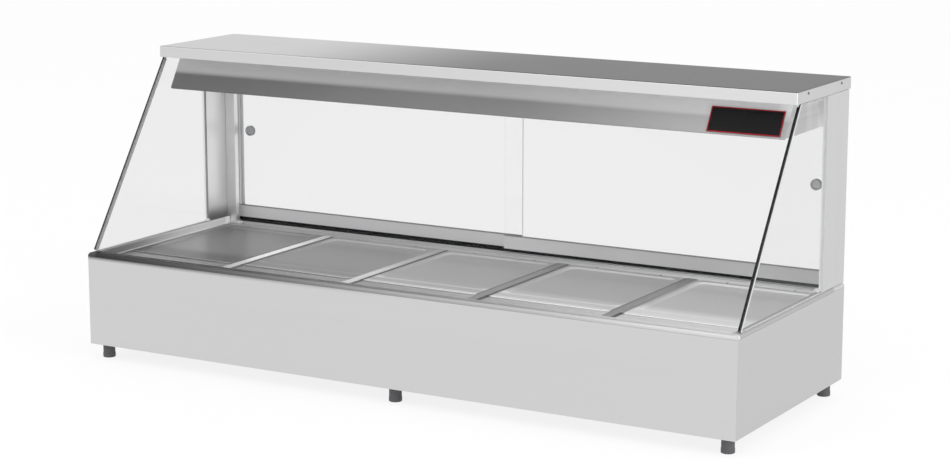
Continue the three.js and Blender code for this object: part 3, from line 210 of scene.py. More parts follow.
class Graph:
    """The nodes of one material or world."""

    def __init__(self, owner: Union[bpy.types.Material, bpy.types.World]) -> None:
        """Empties the owner's node tree and works in it.

        Args:
            owner: a material or world.
        """
        owner.use_nodes = True
        self.tree = owner.node_tree
        self.tree.nodes.clear()

    def node(self, kind: str, settings: dict, inputs: dict) -> bpy.types.Node:
        """Adds a node, first with its settings and then with its sockets' values or links.

        Args:
            kind: the node's type.
            settings: the node's own properties.
            inputs: socket name or number to a value, a Shade or another node's socket.

        Returns:
            The new node.
        """
        node = self.tree.nodes.new(kind)
        for name, value in settings.items():
            setattr(node, name, value)
        for name, value in inputs.items():
            source = value.socket if isinstance(value, Shade) else value
            if isinstance(source, bpy.types.NodeSocket):
                self.tree.links.new(source, node.inputs[name])
            else:
                node.inputs[name].default_value = source
        return node

    def shader(self, kind: str, inputs: dict) -> Socket:
        """The result of a new shader node."""
        return self.node(kind, {}, inputs).outputs[0]

    def source(self, kind: str, output: str) -> Socket:
        """One output of a new node that takes no inputs."""
        return self.node(kind, {}, {}).outputs[output]

    def ray(self, output: str) -> Shade:
        """1 for light rays of one kind, else 0."""
        return Shade(self, self.source("ShaderNodeLightPath", output))

    def place(self) -> Socket:
        """The piece's own coordinates."""
        return self.source("ShaderNodeTexCoord", "Object")

    def part(self, vector: Socket, axis: Axis) -> Shade:
        """One coordinate of a vector."""
        split = self.node("ShaderNodeSeparateXYZ", {}, {"Vector": vector})
        return Shade(self, split.outputs[axis.value])

    def along(self, axis: Axis) -> Shade:
        """The piece's own coordinate along one axis."""
        return self.part(self.place(), axis)

    def facing(self, axis: Axis) -> Shade:
        """How far the surface faces along one axis, from -1 to 1."""
        return self.part(self.source("ShaderNodeNewGeometry", "True Normal"), axis)

    def noise(self, pattern: Pattern) -> Shade:
        """A noise over the piece, from 0 to 1.

        Args:
            pattern: its scale and octaves.

        Returns:
            The noise.
        """
        scale = pattern.scale if isinstance(pattern.scale, tuple) else (pattern.scale,) * 3
        mapping = self.node("ShaderNodeMapping", {}, {"Vector": self.place(), "Scale": scale})
        inputs = {"Vector": mapping.outputs[0], "Scale": 1.0,
                  "Detail": pattern.detail, "Roughness": pattern.weight}
        node = self.node("ShaderNodeTexNoise", {"noise_dimensions": "3D"}, inputs)
        return Shade(self, node.outputs[0])

    def tint(self, color: Union[Triple, Socket], factor: Shade) -> Socket:
        """A colour multiplied by a number."""
        inputs = {0: color, "Scale": factor}
        return self.node("ShaderNodeVectorMath", {"operation": "SCALE"}, inputs).outputs[0]

    def blend(self, factor: Shade, low: Triple, high: Triple) -> Socket:
        """A colour that goes from one to another with a factor."""
        inputs = {0: factor, 6: (*low, 1.0), 7: (*high, 1.0)}
        return self.node("ShaderNodeMix", {"data_type": "RGBA"}, inputs).outputs[2]

    def bump(self, height: Shade, strength: float, distance: float) -> Socket:
        """A normal bumped by a height."""
        inputs = {"Height": height, "Strength": strength, "Distance": distance}
        return self.node("ShaderNodeBump", {}, inputs).outputs[0]

    def mix(self, factor: Shade, first: Socket, second: Socket) -> Socket:
        """A shader that goes from one to another with a factor."""
        return self.shader("ShaderNodeMixShader", {0: factor, 1: first, 2: second})


@dataclass(frozen=True)
class Window:
    """Where along an axis a fade works: fully on start's side, and no more on end's side."""

    axis: Axis
    start: float
    end: float


@dataclass(frozen=True)
class Fade:
    """A slow change of tone across a sheet: painted light and shade, as its rolled surface would
    catch the room.
    """

    axis: Axis
    start: float
    end: float
    low: float
    high: float
    facing: Union[Axis, None] = None
    window: Union[Window, None] = None

    def apply(self, graph: Graph, tone: Value) -> Shade:
        """Multiplies a tone by this fade.

        Args:
            graph: the material's nodes.
            tone: the tone so far.

        Returns:
            The faded tone.
        """
        level = graph.along(self.axis).ramp(self.start, self.end, self.low, self.high)
        if self.facing is not None:
            turned_to = graph.facing(self.facing).magnitude().ramp(*TURNED_TO, 0.0, 1.0)
            level = 1.0 - (1.0 - level) * turned_to
        if self.window is not None:
            place = graph.along(self.window.axis)
            inside = place.ramp(self.window.start, self.window.end, 1.0, 0.0)
            level = 1.0 - (1.0 - level) * inside
        return level * tone


def band(axis: Axis, start: float, end: float, level: float) -> tuple[Fade, Fade]:
    """Two fades that paint light and shade into a band between two places only.

    Args:
        axis: the axis that the places are on.
        start: where the band begins.
        end: where it ends.
        level: the tone inside it.

    Returns:
        The fade into the band and the fade out of it.
    """
    soft = (end - start) * BAND_SOFTNESS
    fade_in = Fade(axis, start, start + soft, 1.0, level)
    return fade_in, Fade(axis, end - soft, end, 1.0, 1.0 / level)


def grey(level: float) -> Triple:
    """A colour of three equal channels."""
    return (level, level, level)


TURNED_TO = (0.25, 0.9)  # how far a surface faces an axis where its fades begin and work fully
BAND_SOFTNESS = 0.35  # share of a band that each of its fades takes
FACES = 0.5  # a pane's surface faces an axis where its normal runs along it by more than this
WHITE = (1.0, 1.0, 1.0, 1.0)
GLASS_IOR = 1.45
BRUSH_DEPTH = 0.05 * MM
PEBBLE_DEPTH = 0.3 * MM
STEEL_CLOUD = Pattern(2.2)
GLASS_SMEAR = Pattern((3.0, 3.0, 1.2), 3.0, 0.6)
GLASS_GRIND = Pattern(260.0)
MOULD_PEBBLE = Pattern(900.0, 3.0, 0.6)
MOULD_CLOUD = Pattern(30.0)
QUARTZ_RIPPLE = Pattern(60.0)
GROUND_MOTTLE = Pattern(1.5)


@dataclass(frozen=True)
class Finish:
    """A finish that pieces can have. Each kind has its own surface."""

    name: str

    def material(self) -> bpy.types.Material:
        """Builds the finish as a material."""
        material = bpy.data.materials.new(self.name)
        graph = Graph(material)
        graph.node("ShaderNodeOutputMaterial", {}, {"Surface": self.surface(graph)})
        return material

    def surface(self, graph: Graph) -> Socket:
        """The shader of this finish."""
        raise NotImplementedError


@dataclass(frozen=True)
class Steel(Finish):
    """Satin sheet metal, brushed along one axis."""

    color: Triple
    roughness: float
    grain: Axis = X
    metallic: float = 1.0
    streak: float = 0.05
    grazing: float = 1.0
    brushed: float = 0.06
    # fades paint light and shade into the tone; matt fades change how metallic the sheet is
    fades: tuple[Fade, ...] = ()
    matt: tuple[Fade, ...] = ()
    wide_waves: Pair = (0.7, 45.0)
    fine_waves: Pair = (9.0, 1400.0)
    fine_streak: float = 1.4
    fine_weight: float = 0.6
    grain_roughness: float = 0.08
    cloud_roughness: float = 0.04

    def surface(self, graph: Graph) -> Socket:
        """Streaks and clouds, and the slow fades of painted light and shade over them.

        Args:
            graph: the material's nodes.

        Returns:
            The shader.
        """
        wide = graph.noise(Pattern(self._stretched(*self.wide_waves)))
        fine = graph.noise(Pattern(self._stretched(*self.fine_waves), weight=self.fine_weight))
        cloud = graph.noise(STEEL_CLOUD)
        tone = 1.0 + wide.sway(self.streak) + fine.sway(self.streak * self.fine_streak)
        for fade in self.fades:
            tone = fade.apply(graph, tone)
        metal: Value = self.metallic
        for fade in self.matt:
            metal = fade.apply(graph, metal)
        return graph.shader("ShaderNodeBsdfPrincipled", {
            "Base Color": graph.tint(self.color, tone),
            "Metallic": metal,
            "Specular Tint": (*grey(self.grazing), 1.0),
            "Roughness": (self.roughness + fine.sway(self.grain_roughness)
                          + cloud.sway(self.cloud_roughness)),
            "Normal": graph.bump(fine, self.brushed, BRUSH_DEPTH),
        })

    def _stretched(self, along: float, across: float) -> Triple:
        """Scale of a noise whose streaks run along the grain."""
        x, y, z = (along if axis is self.grain else across for axis in Axis)
        return (x, y, z)


@dataclass(frozen=True)
class Pane(Finish):
    """Clear toughened glass. Its edges are ground, or coloured where they are bonded.

    The surfaces that face an axis are its faces, or its edges where edges_face_axis is set.
    """

    clear: float
    edge: Triple
    axis: Axis
    reflection: float
    edges_face_axis: bool = False
    bonded: Triple = (0.008, 0.009, 0.009)
    bond_reach: float = 1.0
    edge_share: float = 1.0
    sheen: Triple = (0.9, 0.92, 0.92)
    polish: float = 0.025
    smear: float = 0.02
    edge_roughness: float = 0.35
    edge_grind: float = 0.2

    def surface(self, graph: Graph) -> Socket:
        """Clear faces that reflect at grazing angles, and plain edges.

        Args:
            graph: the material's nodes.

        Returns:
            The shader.
        """
        clear = graph.shader("ShaderNodeBsdfTransparent", {"Color": (*grey(self.clear), 1.0)})
        gloss = graph.shader("ShaderNodeBsdfPrincipled", {
            "Base Color": (*self.sheen, 1.0),
            "Metallic": 1.0,
            "Roughness": self.polish + graph.noise(GLASS_SMEAR).sway(self.smear),
        })
        fresnel = graph.node("ShaderNodeFresnel", {}, {"IOR": GLASS_IOR})
        grazing = Shade(graph, fresnel.outputs[0])
        inside = Shade(graph, graph.source("ShaderNodeNewGeometry", "Backfacing"))
        face = graph.mix(grazing * self.reflection * (1.0 - inside), clear, gloss)
        toward = {axis: graph.facing(axis).magnitude().above(FACES) for axis in Axis}
        across = graph.along(X)
        slope = toward[Y] * toward[Z] * (1.0 - across.magnitude().above(self.bond_reach))
        left_end = toward[X] * (1.0 - across.above(0.0))
        color = graph.blend(slope.maximum(left_end), self.edge, self.bonded)
        edge = graph.shader("ShaderNodeBsdfPrincipled", {
            "Base Color": graph.tint(color, 1.0 + graph.noise(GLASS_GRIND).sway(self.edge_grind)),
            "Roughness": self.edge_roughness,
        })
        on_edge = toward[self.axis]
        if not self.edges_face_axis:
            on_edge = 1.0 - on_edge
        return graph.mix(on_edge * self.edge_share, face, edge)


@dataclass(frozen=True)
class Moulded(Finish):
    """Plastic, rubber or ceramic with a fine moulded texture."""

    color: Triple
    roughness: float
    texture: float = 0.15
    coat: float = 0.0
    specular: float = 0.5
    cloud_tone: float = 0.12
    cloud_roughness: float = 0.08

    def surface(self, graph: Graph) -> Socket:
        """A pebbled skin with faint clouds.

        Args:
            graph: the material's nodes.

        Returns:
            The shader.
        """
        pebble = graph.noise(MOULD_PEBBLE)
        cloud = graph.noise(MOULD_CLOUD)
        return graph.shader("ShaderNodeBsdfPrincipled", {
            "Base Color": graph.tint(self.color, 1.0 + cloud.sway(self.cloud_tone)),
            "Roughness": self.roughness + cloud.sway(self.cloud_roughness),
            "Coat Weight": self.coat,
            "Specular IOR Level": self.specular,
            "Normal": graph.bump(pebble, self.texture, PEBBLE_DEPTH),
        })


@dataclass(frozen=True)
class Quartz(Finish):
    """The clear tube of a heat lamp, faintly amber."""

    color: Triple = (0.93, 0.86, 0.78)
    roughness: float = 0.08
    alpha: float = 0.55
    ripple: float = 0.16

    def surface(self, graph: Graph) -> Socket:
        """A half-clear skin with faint ripples.

        Args:
            graph: the material's nodes.

        Returns:
            The shader.
        """
        tone = 1.0 + graph.noise(QUARTZ_RIPPLE).sway(self.ripple)
        return graph.shader("ShaderNodeBsdfPrincipled", {
            "Base Color": graph.tint(self.color, tone),
            "Roughness": self.roughness,
            "Alpha": self.alpha,
        })


@dataclass(frozen=True)
class Ground(Finish):
    """A white ground that keeps a faint shadow, and that metal and glass show as white."""

    color: Triple = grey(0.90)
    roughness: float = 0.9
    mottle: float = 0.02
    glow_share: float = 0.82

    def surface(self, graph: Graph) -> Socket:
        """Matt white, mixed with a glow for the rays that look at it.

        Args:
            graph: the material's nodes.

        Returns:
            The shader.
        """
        seen = graph.ray("Is Camera Ray").maximum(graph.ray("Is Glossy Ray"))
        seen = seen.maximum(graph.ray("Is Transmission Ray"))
        tone = 1.0 + graph.noise(GROUND_MOTTLE).sway(self.mottle)
        matt = graph.shader("ShaderNodeBsdfPrincipled", {
            "Base Color": graph.tint(self.color, tone),
            "Roughness": self.roughness,
        })
        glow = graph.shader("ShaderNodeEmission", {"Color": WHITE, "Strength": 1.0})
        return graph.mix(seen * self.glow_share, matt, glow)


RIM_SIDES = Window(Y, -0.283, -0.290)
HOOD_FOOT = Window(Z, 0.650, 0.662)
HOOD_RIGHT_END = Window(X, 0.808, 0.800)

# Painted reflection: the panel darkens above 0.24 m, fully at the left and less towards the right.
PANEL = Steel("panel_steel", grey(0.635), 0.38, streak=0.03, fades=(
    Fade(Z, 0.2385, 0.2495, 1.0, 0.25, window=Window(X, -0.78, 0.15)),
))
# Painted shade: the side panels are a darker copy of the front panel's steel.
SIDE_PANEL = Steel("side_panel_steel", grey(0.56), 0.38, grain=Y, streak=0.03)
# Painted light and shade: near-white steel, lighter than the panels; the posts' outer faces are
# darkened, the left post darkens towards its foot, and both darken at the rear.
UPRIGHT = Steel("upright_steel", grey(0.96), 0.40, grain=Z, metallic=0.80, fades=(
    Fade(X, -0.8379, -0.8372, 0.50, 1.0),
    Fade(X, 0.8372, 0.8379, 1.0, 0.475),
    Fade(Z, 0.262, 0.298, 0.30, 1.0, window=Window(X, 0.0, 0.1)),
    Fade(Y, 0.2850, 0.2858, 1.0, 0.62),
), matt=(
    Fade(X, 0.0, 0.1, 1.0, 0.31),
))
# Painted light and shade: a little lighter behind 0.282 m and darker behind 0.286 m.
JAMB = Steel("jamb_aluminium", grey(0.90), 0.40, grain=Z, metallic=0.80, fades=(
    Fade(Y, 0.2800, 0.2820, 1.0, 1.1),
    Fade(Y, 0.2850, 0.2858, 1.0, 0.58),
))
# Painted reflection: the top is lighter at the left and darkens to the right, the front face
# lightens to the right, the top's front edge is darkened to hide a highlight, the right end
# lightened.
CANOPY = Steel("canopy_steel", grey(0.65), 0.30, streak=0.03, grazing=0.65, fades=(
    Fade(X, -0.58, 0.12, 1.34, 0.27, facing=Z),
    Fade(X, -0.40, 0.84, 1.0, 1.14, window=Window(Y, -0.0078, -0.0070)),
    Fade(Y, -0.0072, -0.0040, 0.40, 1.0, facing=Z),
    Fade(X, 0.8358, 0.8364, 1.0, 1.10),
))
# Painted reflection, light and shade: the front rim darkens to the left, the deck lightens to the
# right, the rim's front bend highlight is toned down, and the rim's sides, its left inner face and
# the rear strip are lightened or darkened by how light falls on them.
DECK = Steel("deck_steel", grey(0.58), 0.44, streak=0.03, grazing=0.8, brushed=0.02, fades=(
    Fade(X, -1.00, 0.80, 0.085, 1.0, window=Window(Y, -0.276, -0.270)),
    Fade(X, -0.84, 0.90, 0.72, 1.30),
    Fade(X, 0.10, 0.75, 1.0, 1.22),
    Fade(X, -0.10, 0.50, 1.0, 0.72, window=Window(Y, -0.2950, -0.2925)),
    Fade(X, 0.8185, 0.8195, 1.0, 0.38, window=RIM_SIDES),
    Fade(X, -0.8225, -0.8215, 0.72, 1.0, window=RIM_SIDES),
    Fade(Y, -0.25, 0.17, 0.55, 2.3, facing=X, window=Window(X, -0.8195, -0.8185)),
    Fade(Y, 0.222, 0.232, 1.0, 1.28),
), matt=(
    Fade(X, -0.8195, -0.8185, 0.15, 1.0),
    Fade(X, 0.8185, 0.8195, 1.0, 0.15, window=RIM_SIDES),
    Fade(Y, 0.222, 0.232, 1.0, 0.1),
))
# Lit and shaded copies of one bar steel: painted light on the first bar, less on the second, which
# also darkens to the rear, and painted shade on the third and fourth.
LIT_BAR = Steel("bright_bar_steel", grey(1.0), 0.22, grain=Y, metallic=0.9)
HALF_LIT_BAR = Steel("faded_bar_steel", grey(0.78), 0.36, grain=Y, metallic=0.5, fades=(
    Fade(Y, -0.12, 0.10, 1.0, 0.60),
))
SHADED_BAR = Steel("shaded_bar_steel", grey(0.24), 0.34, grain=Y, metallic=0.6)
# Painted light, shade and reflection: a near-white base, lighter near the top and to the right, a
# dark band along the foot that lightens to the right, and the right end painted by depth and
# height.
HOOD = Steel("hood_steel", grey(0.95), 0.50, metallic=0.30, streak=0.03, fades=(
    Fade(Z, 0.656, 0.690, 0.58, 1.20),
    Fade(X, 0.0, 0.80, 1.0, 1.40),
    Fade(X, -0.80, 0.10, 0.27, 0.42, window=HOOD_FOOT),
    Fade(X, 0.05, 0.70, 1.0, 1.60, window=HOOD_FOOT),
    Fade(Y, 0.105, 0.125, 0.46, 0.56, facing=X, window=HOOD_RIGHT_END),
    Fade(Y, 0.158, 0.188, 1.0, 2.7, facing=X, window=HOOD_RIGHT_END),
    Fade(Z, 0.642, 0.674, 2.1, 1.0, facing=X, window=HOOD_RIGHT_END),
), matt=(
    Fade(X, 0.780, 0.783, 1.0, 0.0),
))
INNER = Steel("inner_steel", (0.45, 0.45, 0.46), 0.42)
REFLECTOR = Steel("reflector_steel", grey(0.78), 0.14)
CONTROL_PLATE = Steel("control_plate_steel", (0.42, 0.42, 0.43), 0.38)
# Painted shade: the rails darken towards the right.
RAIL = Steel("rail_aluminium", (0.82, 0.82, 0.83), 0.42, metallic=0.3, streak=0.03, fades=(
    Fade(X, -0.05, 0.50, 1.0, 0.78),
))
# Painted shadow: the front of the track is nearly black above 0.245 m, under the door rails.
TRACK = Steel("track_aluminium", (0.60, 0.60, 0.61), 0.55, metallic=0.0, streak=0.03, grazing=0.05,
              fades=(Fade(Z, 0.2440, 0.2450, 1.0, 0.02, window=Window(Y, 0.2835, 0.2845)),))
PULL = Steel("pull_aluminium", (0.50, 0.51, 0.52), 0.30, grain=Z, metallic=0.6)
SCREW = Steel("screw_steel", (0.16, 0.16, 0.17), 0.34, grain=Z)
SHEATH = Steel("element_sheath", (0.10, 0.09, 0.085), 0.55)
# Painted highlight: near-white steel for the bright line along the foot of the left rim, darker
# towards the front.
RIM_HIGHLIGHT = Steel("bead_steel", grey(0.98), 0.30, grain=Y, metallic=0.9, fades=(
    Fade(Y, -0.24, 0.10, 0.75, 1.0),
))
# Painted highlight and shade: near-white steel for the bright line along the tray fronts, darker
# towards the left.
LIP = Steel("tray_lip_steel", grey(0.98), 0.30, fades=(
    Fade(X, -0.85, 0.40, 0.35, 1.0),
))
# Lit and shaded copies of one glass: clearness and edge tones differ per pane as painted light and
# shade, and the pale edge tones are painted light caught along the edges.
LIT_DOOR_EDGE = (0.94, 0.95, 0.95)
FRONT_PANE = Pane("front_glass", 0.926, (0.50, 0.51, 0.51), X, 0.15, edges_face_axis=True,
                  bonded=(0.05, 0.051, 0.051))
LEFT_PANE = Pane("left_side_glass", 0.998, (0.95, 0.96, 0.96), X, 0.4, bonded=(0.45, 0.453, 0.453))
RIGHT_PANE = Pane("right_side_glass", 0.905, (0.64, 0.65, 0.65), X, 0.5, bond_reach=0.8355)
DOOR_PANES = {
    Side.LEFT: Pane("left_door_glass", 0.998, (0.70, 0.72, 0.71), Y, 0.3, bonded=LIT_DOOR_EDGE),
    Side.RIGHT: Pane("right_door_glass", 0.998, LIT_DOOR_EDGE, Y, 0.3, bonded=LIT_DOOR_EDGE,
                     edge_share=0.15),
}
FOOT = Moulded("foot_rubber", (0.085, 0.086, 0.090), 0.6)
BLACK = Moulded("control_black", (0.022, 0.022, 0.024), 0.42)
BADGE = Moulded("plate_black", (0.004, 0.004, 0.005), 0.5, texture=0.02, specular=0.15)
BADGE_EDGE = Moulded("plate_red_edge", (0.45, 0.010, 0.018), 0.5, texture=0.02, specular=0.2)
RED = Moulded("control_red", (0.42, 0.02, 0.015), 0.22, texture=0.03, coat=0.4)
MARK = Moulded("control_mark", (0.82, 0.82, 0.80), 0.5, texture=0.02)
NYLON = Moulded("track_nylon", (0.90, 0.90, 0.89), 0.5, texture=0.05)
CERAMIC = Moulded("holder_ceramic", (0.78, 0.75, 0.68), 0.7)
# Painted shadow: dark strips along the bars and beside their front ends.
SHADOW_STRIP = Moulded("dark_seal", (0.16, 0.16, 0.165), 0.6, texture=0.02, specular=0.3)
# A paler strip of painted shadow beside the second and fourth bars, and the left glass bond's seal.
PALE_SEAL_AND_SHADOW = Moulded("pale_seal", (0.40, 0.40, 0.405), 0.6, texture=0.02, specular=0.3)
POST_SEAL = Moulded("post_seal", (0.34, 0.34, 0.345), 0.6, texture=0.02, specular=0.3)
# Painted shadow: a black strip along the foot of each door rail.
RAIL_SHADOW = Moulded("door_brush", grey(0.010), 0.8, texture=0.3, specular=0.1)
BOND = Moulded("glass_bond", (0.006, 0.006, 0.007), 0.5, texture=0.05, specular=0.2)
LAMP = Quartz("lamp_quartz")


def tray_steel(number: int, tone: float, front: float, line: float, rear: float,
               side: float = 1.0) -> Steel:
    """The finish of one tray, with the light and shade of its bay painted into its tone.

    Args:
        number: which tray, from the left.
        tone: tone of its floor, with the light of its bay painted in.
        front: tone of its front flange relative to the floor, painted light and shade.
        line: painted highlight on the flange's front edge and the dish's front wall, relative to
            the flange.
        rear: tone of its rear edge relative to the floor, painted light and shade.
        side: painted shade on the first tray's right half, relative to its left half.

    Returns:
        The finish.
    """
    fades = (Fade(Y, -0.112, -0.050, front, 1.0), *band(Y, -0.127, -0.101, line),
             Fade(Y, -0.158, -0.148, line, 1.0), Fade(Y, 0.12, 0.20, 1.0, rear),
             Fade(X, -0.68, -0.54, 1.0, side))
    return Steel(f"tray_steel_{number}", grey(tone), 0.36, streak=0.03, grazing=0.8, brushed=0.03,
                 fades=fades)


# Lit and shaded copies of one tray steel: floor tones rise to the right with the light painted in.
TRAYS = {
    1: tray_steel(1, 0.42, 0.60, 1.0, 0.95, side=0.86),
    2: tray_steel(2, 0.39, 0.90, 1.30, 1.38),
    3: tray_steel(3, 0.510, 1.15, 1.50, 1.18),
    4: tray_steel(4, 0.540, 1.42, 1.28, 1.27),
    5: tray_steel(5, 0.65, 1.44, 1.10, 1.35),
}
# Each bar's copy of the steel, by the light painted on it.
BARS = {1: LIT_BAR, 2: HALF_LIT_BAR, 3: SHADED_BAR, 4: SHADED_BAR}


def middle(low: Point, high: Point) -> Vector:
    """The middle of a box."""
    return (Vector(low) + Vector(high)) / 2


def placed(name: str, data: bpy.types.ID) -> bpy.types.Object:
    """Puts a new object in the scene.

    Args:
        name: the object's name.
        data: its mesh, camera or lamp.

    Returns:
        The object.
    """
    thing = bpy.data.objects.new(name, data)
    bpy.context.scene.collection.objects.link(thing)
    return thing


def meshed(name: str, shape: Shape) -> bpy.types.Mesh:
    """Makes a mesh of a finished bmesh.

    Args:
        name: the mesh's name.
        shape: the bmesh. It is freed.

    Returns:
        The mesh.
    """
    mesh = bpy.data.meshes.new(name)
    shape.to_mesh(mesh)
    shape.free()
    return mesh


def merged(shapes: Iterable[Shape]) -> Shape:
    """Joins several bmeshes.

    Args:
        shapes: the bmeshes. They are freed.

    Returns:
        One bmesh with all of them.
    """
    whole = bmesh.new()
    for shape in shapes:
        mesh = meshed("part", shape)
        whole.from_mesh(mesh)
        bpy.data.meshes.remove(mesh)
    return whole


def rounded(shape: Shape, edges: list[bmesh.types.BMEdge], width: float, segments: int) -> None:
    """Rounds some of a shape's edges.

    Args:
        shape: the shape.
        edges: the edges that are rounded.
        width: how far the rounding reaches from each edge.
        segments: facets across it.
    """
    bmesh.ops.bevel(shape, geom=edges, offset=width, offset_type="OFFSET", affect="EDGES",
                    segments=segments, profile=0.5, material=-1, clamp_overlap=True)


def boxed(corner: Point, opposite: Point, edge: float) -> Shape:
    """A block between two opposite corners.

    Args:
        corner: one corner.
        opposite: the corner across from it.
        edge: radius of the block's edges.

    Returns:
        The block.
    """
    shape = bmesh.new()
    size = [abs(length) for length in Vector(opposite) - Vector(corner)]
    matrix = Matrix.Translation(middle(corner, opposite)) @ Matrix.Diagonal((*size, 1.0))
    bmesh.ops.create_cube(shape, size=1.0, matrix=matrix)
    rounded(shape, shape.edges[:], edge, 2)
    return shape


def turned(profile: Iterable[Pair], centre: Point, axis: Vector, steps: int) -> Shape:
    """A turned form from (radius, height) points that start and end on the axis.

    Args:
        profile: the points, heights along the axis.
        centre: the place of height zero.
        axis: the direction of the turning axis.
        steps: facets round the axis.

    Returns:
        The form.
    """
    shape = bmesh.new()
    verts = [shape.verts.new((radius, 0.0, height)) for radius, height in profile]
    edges = [shape.edges.new(pair) for pair in zip(verts, verts[1:])]
    bmesh.ops.spin(shape, geom=verts + edges, cent=(0, 0, 0), axis=(0, 0, 1), angle=math.tau,
                   steps=steps, use_merge=True)
    bmesh.ops.remove_doubles(shape, verts=shape.verts, dist=WELD)
    turn = Z.vector.rotation_difference(axis.normalized()).to_matrix().to_4x4()
    bmesh.ops.transform(shape, matrix=Matrix.Translation(Vector(centre)) @ turn, verts=shape.verts)
    return shape


ROD_END = ((0.0, 0.0), (0.6, 0.0), (0.9, 0.25), (1.0, 0.7))  # radii off the axis and from the end
ROD_STEPS = 16


def rod(start: Vector, axis: Vector, length: float, radius: float) -> Shape:
    """A round rod with rounded ends.

    Args:
        start: middle of its first end.
        axis: the direction that it runs in.
        length: its length.
        radius: its radius.

    Returns:
        The rod.
    """
    first = [(radius * off, radius * depth) for off, depth in ROD_END]
    last = [(off, length - depth) for off, depth in reversed(first)]
    return turned(first + last, start, axis, ROD_STEPS)


@dataclass(frozen=True)
class Screw:
    """A pan-head machine screw with a socket, seen from outside."""

    radius: float
    rise: float
    steps: int = 20
    profile: tuple[Pair, ...] = (  # shares of the radius and rise, from the socket's floor outwards
        (0.0, 0.35), (0.42, 0.35), (0.42, 0.94), (0.483, 1.0), (0.70, 0.90), (0.92, 0.60),
        (1.0, 0.22), (1.0, 0.0), (0.0, 0.0))

    def row(self, centres: Iterable[Point], axis: Vector) -> Shape:
        """The heads of several screws that stand the same way.

        Args:
            centres: where each screw's axis meets the surface.
            axis: the direction that the heads stand out in.

        Returns:
            The heads.
        """
        profile = [(self.radius * off, self.rise * height) for off, height in self.profile]
        return merged([turned(profile, centre, axis, self.steps) for centre in centres])


@dataclass(frozen=True)
class Fold:
    """How the edges of a copied sheet part are rounded."""

    width: float = 0.5 * MM
    segments: int = 2
    sharp_degrees: float = 28.0


SHEET_EDGE = Fold()
SOFT_EDGE = Fold(width=0.9 * MM, segments=3)
FINE_EDGE = Fold(width=0.3 * MM)
KNOB_EDGE = Fold(segments=3, sharp_degrees=35.0)
PLAIN = Fold(width=0.0)


class FinishBook:
    """Builds each finish once and hands it out."""

    def __init__(self) -> None:
        """Starts with no materials."""
        self._made: dict[str, bpy.types.Material] = {}

    def dress(self, piece: bpy.types.Object, finish: Finish) -> None:
        """Gives a piece one material all over, which is made at its first use.

        Args:
            piece: the piece.
            finish: its finish.
        """
        if finish.name not in self._made:
            self._made[finish.name] = finish.material()
        piece.data.materials.clear()
        piece.data.materials.append(self._made[finish.name])


@dataclass
class Workshop:
    """Makes pieces and fastens them to the bodies of the frame."""

    frame: dict
    finishes: FinishBook = field(default_factory=FinishBook)

    def body_of(self, node: str) -> str:
        """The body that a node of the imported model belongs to."""
        bodies = self.frame["record"]["behaviour"]["bodies"]
        return next(body for body, nodes in bodies.items() if node in nodes)

    def slot_of(self, node: str) -> str:
        """The material slot that the record gives a node."""
        subparts = self.frame["record"]["subparts"]
        return next(part["material_slot"] for part in subparts if part["node"] == node)

    def copy_of(self, node: str) -> Shape:
        """Copies a node's mesh and joins its loose triangles to flat faces.

        Args:
            node: the node.

        Returns:
            The copy.
        """
        shape = bmesh.new()
        shape.from_mesh(self.frame["nodes"][node].data)
        bmesh.ops.remove_doubles(shape, verts=shape.verts, dist=WELD)
        bmesh.ops.dissolve_limit(shape, angle_limit=FLAT, verts=shape.verts, edges=shape.edges)
        return shape

    def dress_node(self, node: str, finish: Finish) -> None:
        """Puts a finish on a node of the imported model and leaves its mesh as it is."""
        self.finishes.dress(self.frame["nodes"][node], finish)
        LOG.info("node %s: %s", node, finish.name)

    def add(self, name: str, shape: Shape, body: str, finish: Finish,
            slot: str) -> bpy.types.Object:
        """Makes a piece of a finished bmesh and fastens it to a body.

        Args:
            name: the piece's name.
            shape: the bmesh, in place in the frame. It is freed.
            body: the body that the piece rides on.
            finish: its finish.
            slot: the record's material slot that it belongs to; not used.

        Returns:
            The new object.
        """
        bmesh.ops.recalc_face_normals(shape, faces=shape.faces)
        mesh = meshed(name, shape)
        mesh.shade_smooth()
        mesh.set_sharp_from_angle(angle=SMOOTH)
        piece = placed(name, mesh)
        piece.modifiers.new("flats", "WEIGHTED_NORMAL").keep_sharp = True
        self.finishes.dress(piece, finish)
        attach(piece, body)
        LOG.info("piece %s on %s: %s", name, body, finish.name)
        return piece

    def form(self, node: str, finish: Finish, fold: Fold = SHEET_EDGE) -> None:
        """Replaces a node by a copy with rounded edges.

        Args:
            node: the node that is copied.
            finish: the copy's finish.
            fold: how its edges are rounded.
        """
        shape = self.copy_of(node)
        sharp = [edge for edge in shape.edges if len(edge.link_faces) == 2
                 and edge.calc_face_angle(0.0) > math.radians(fold.sharp_degrees)]
        if fold.width > 0.0 and sharp:
            rounded(shape, sharp, fold.width, fold.segments)
        bmesh.ops.triangulate(shape, faces=[face for face in shape.faces if len(face.verts) > 4])
        piece = self.add(f"{node}_formed", shape, self.body_of(node), finish, self.slot_of(node))
        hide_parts(node)


@dataclass(frozen=True)
class SoftLamp:
    """A broad square lamp."""

    name: str
    place: Triple
    power: float
    size: float


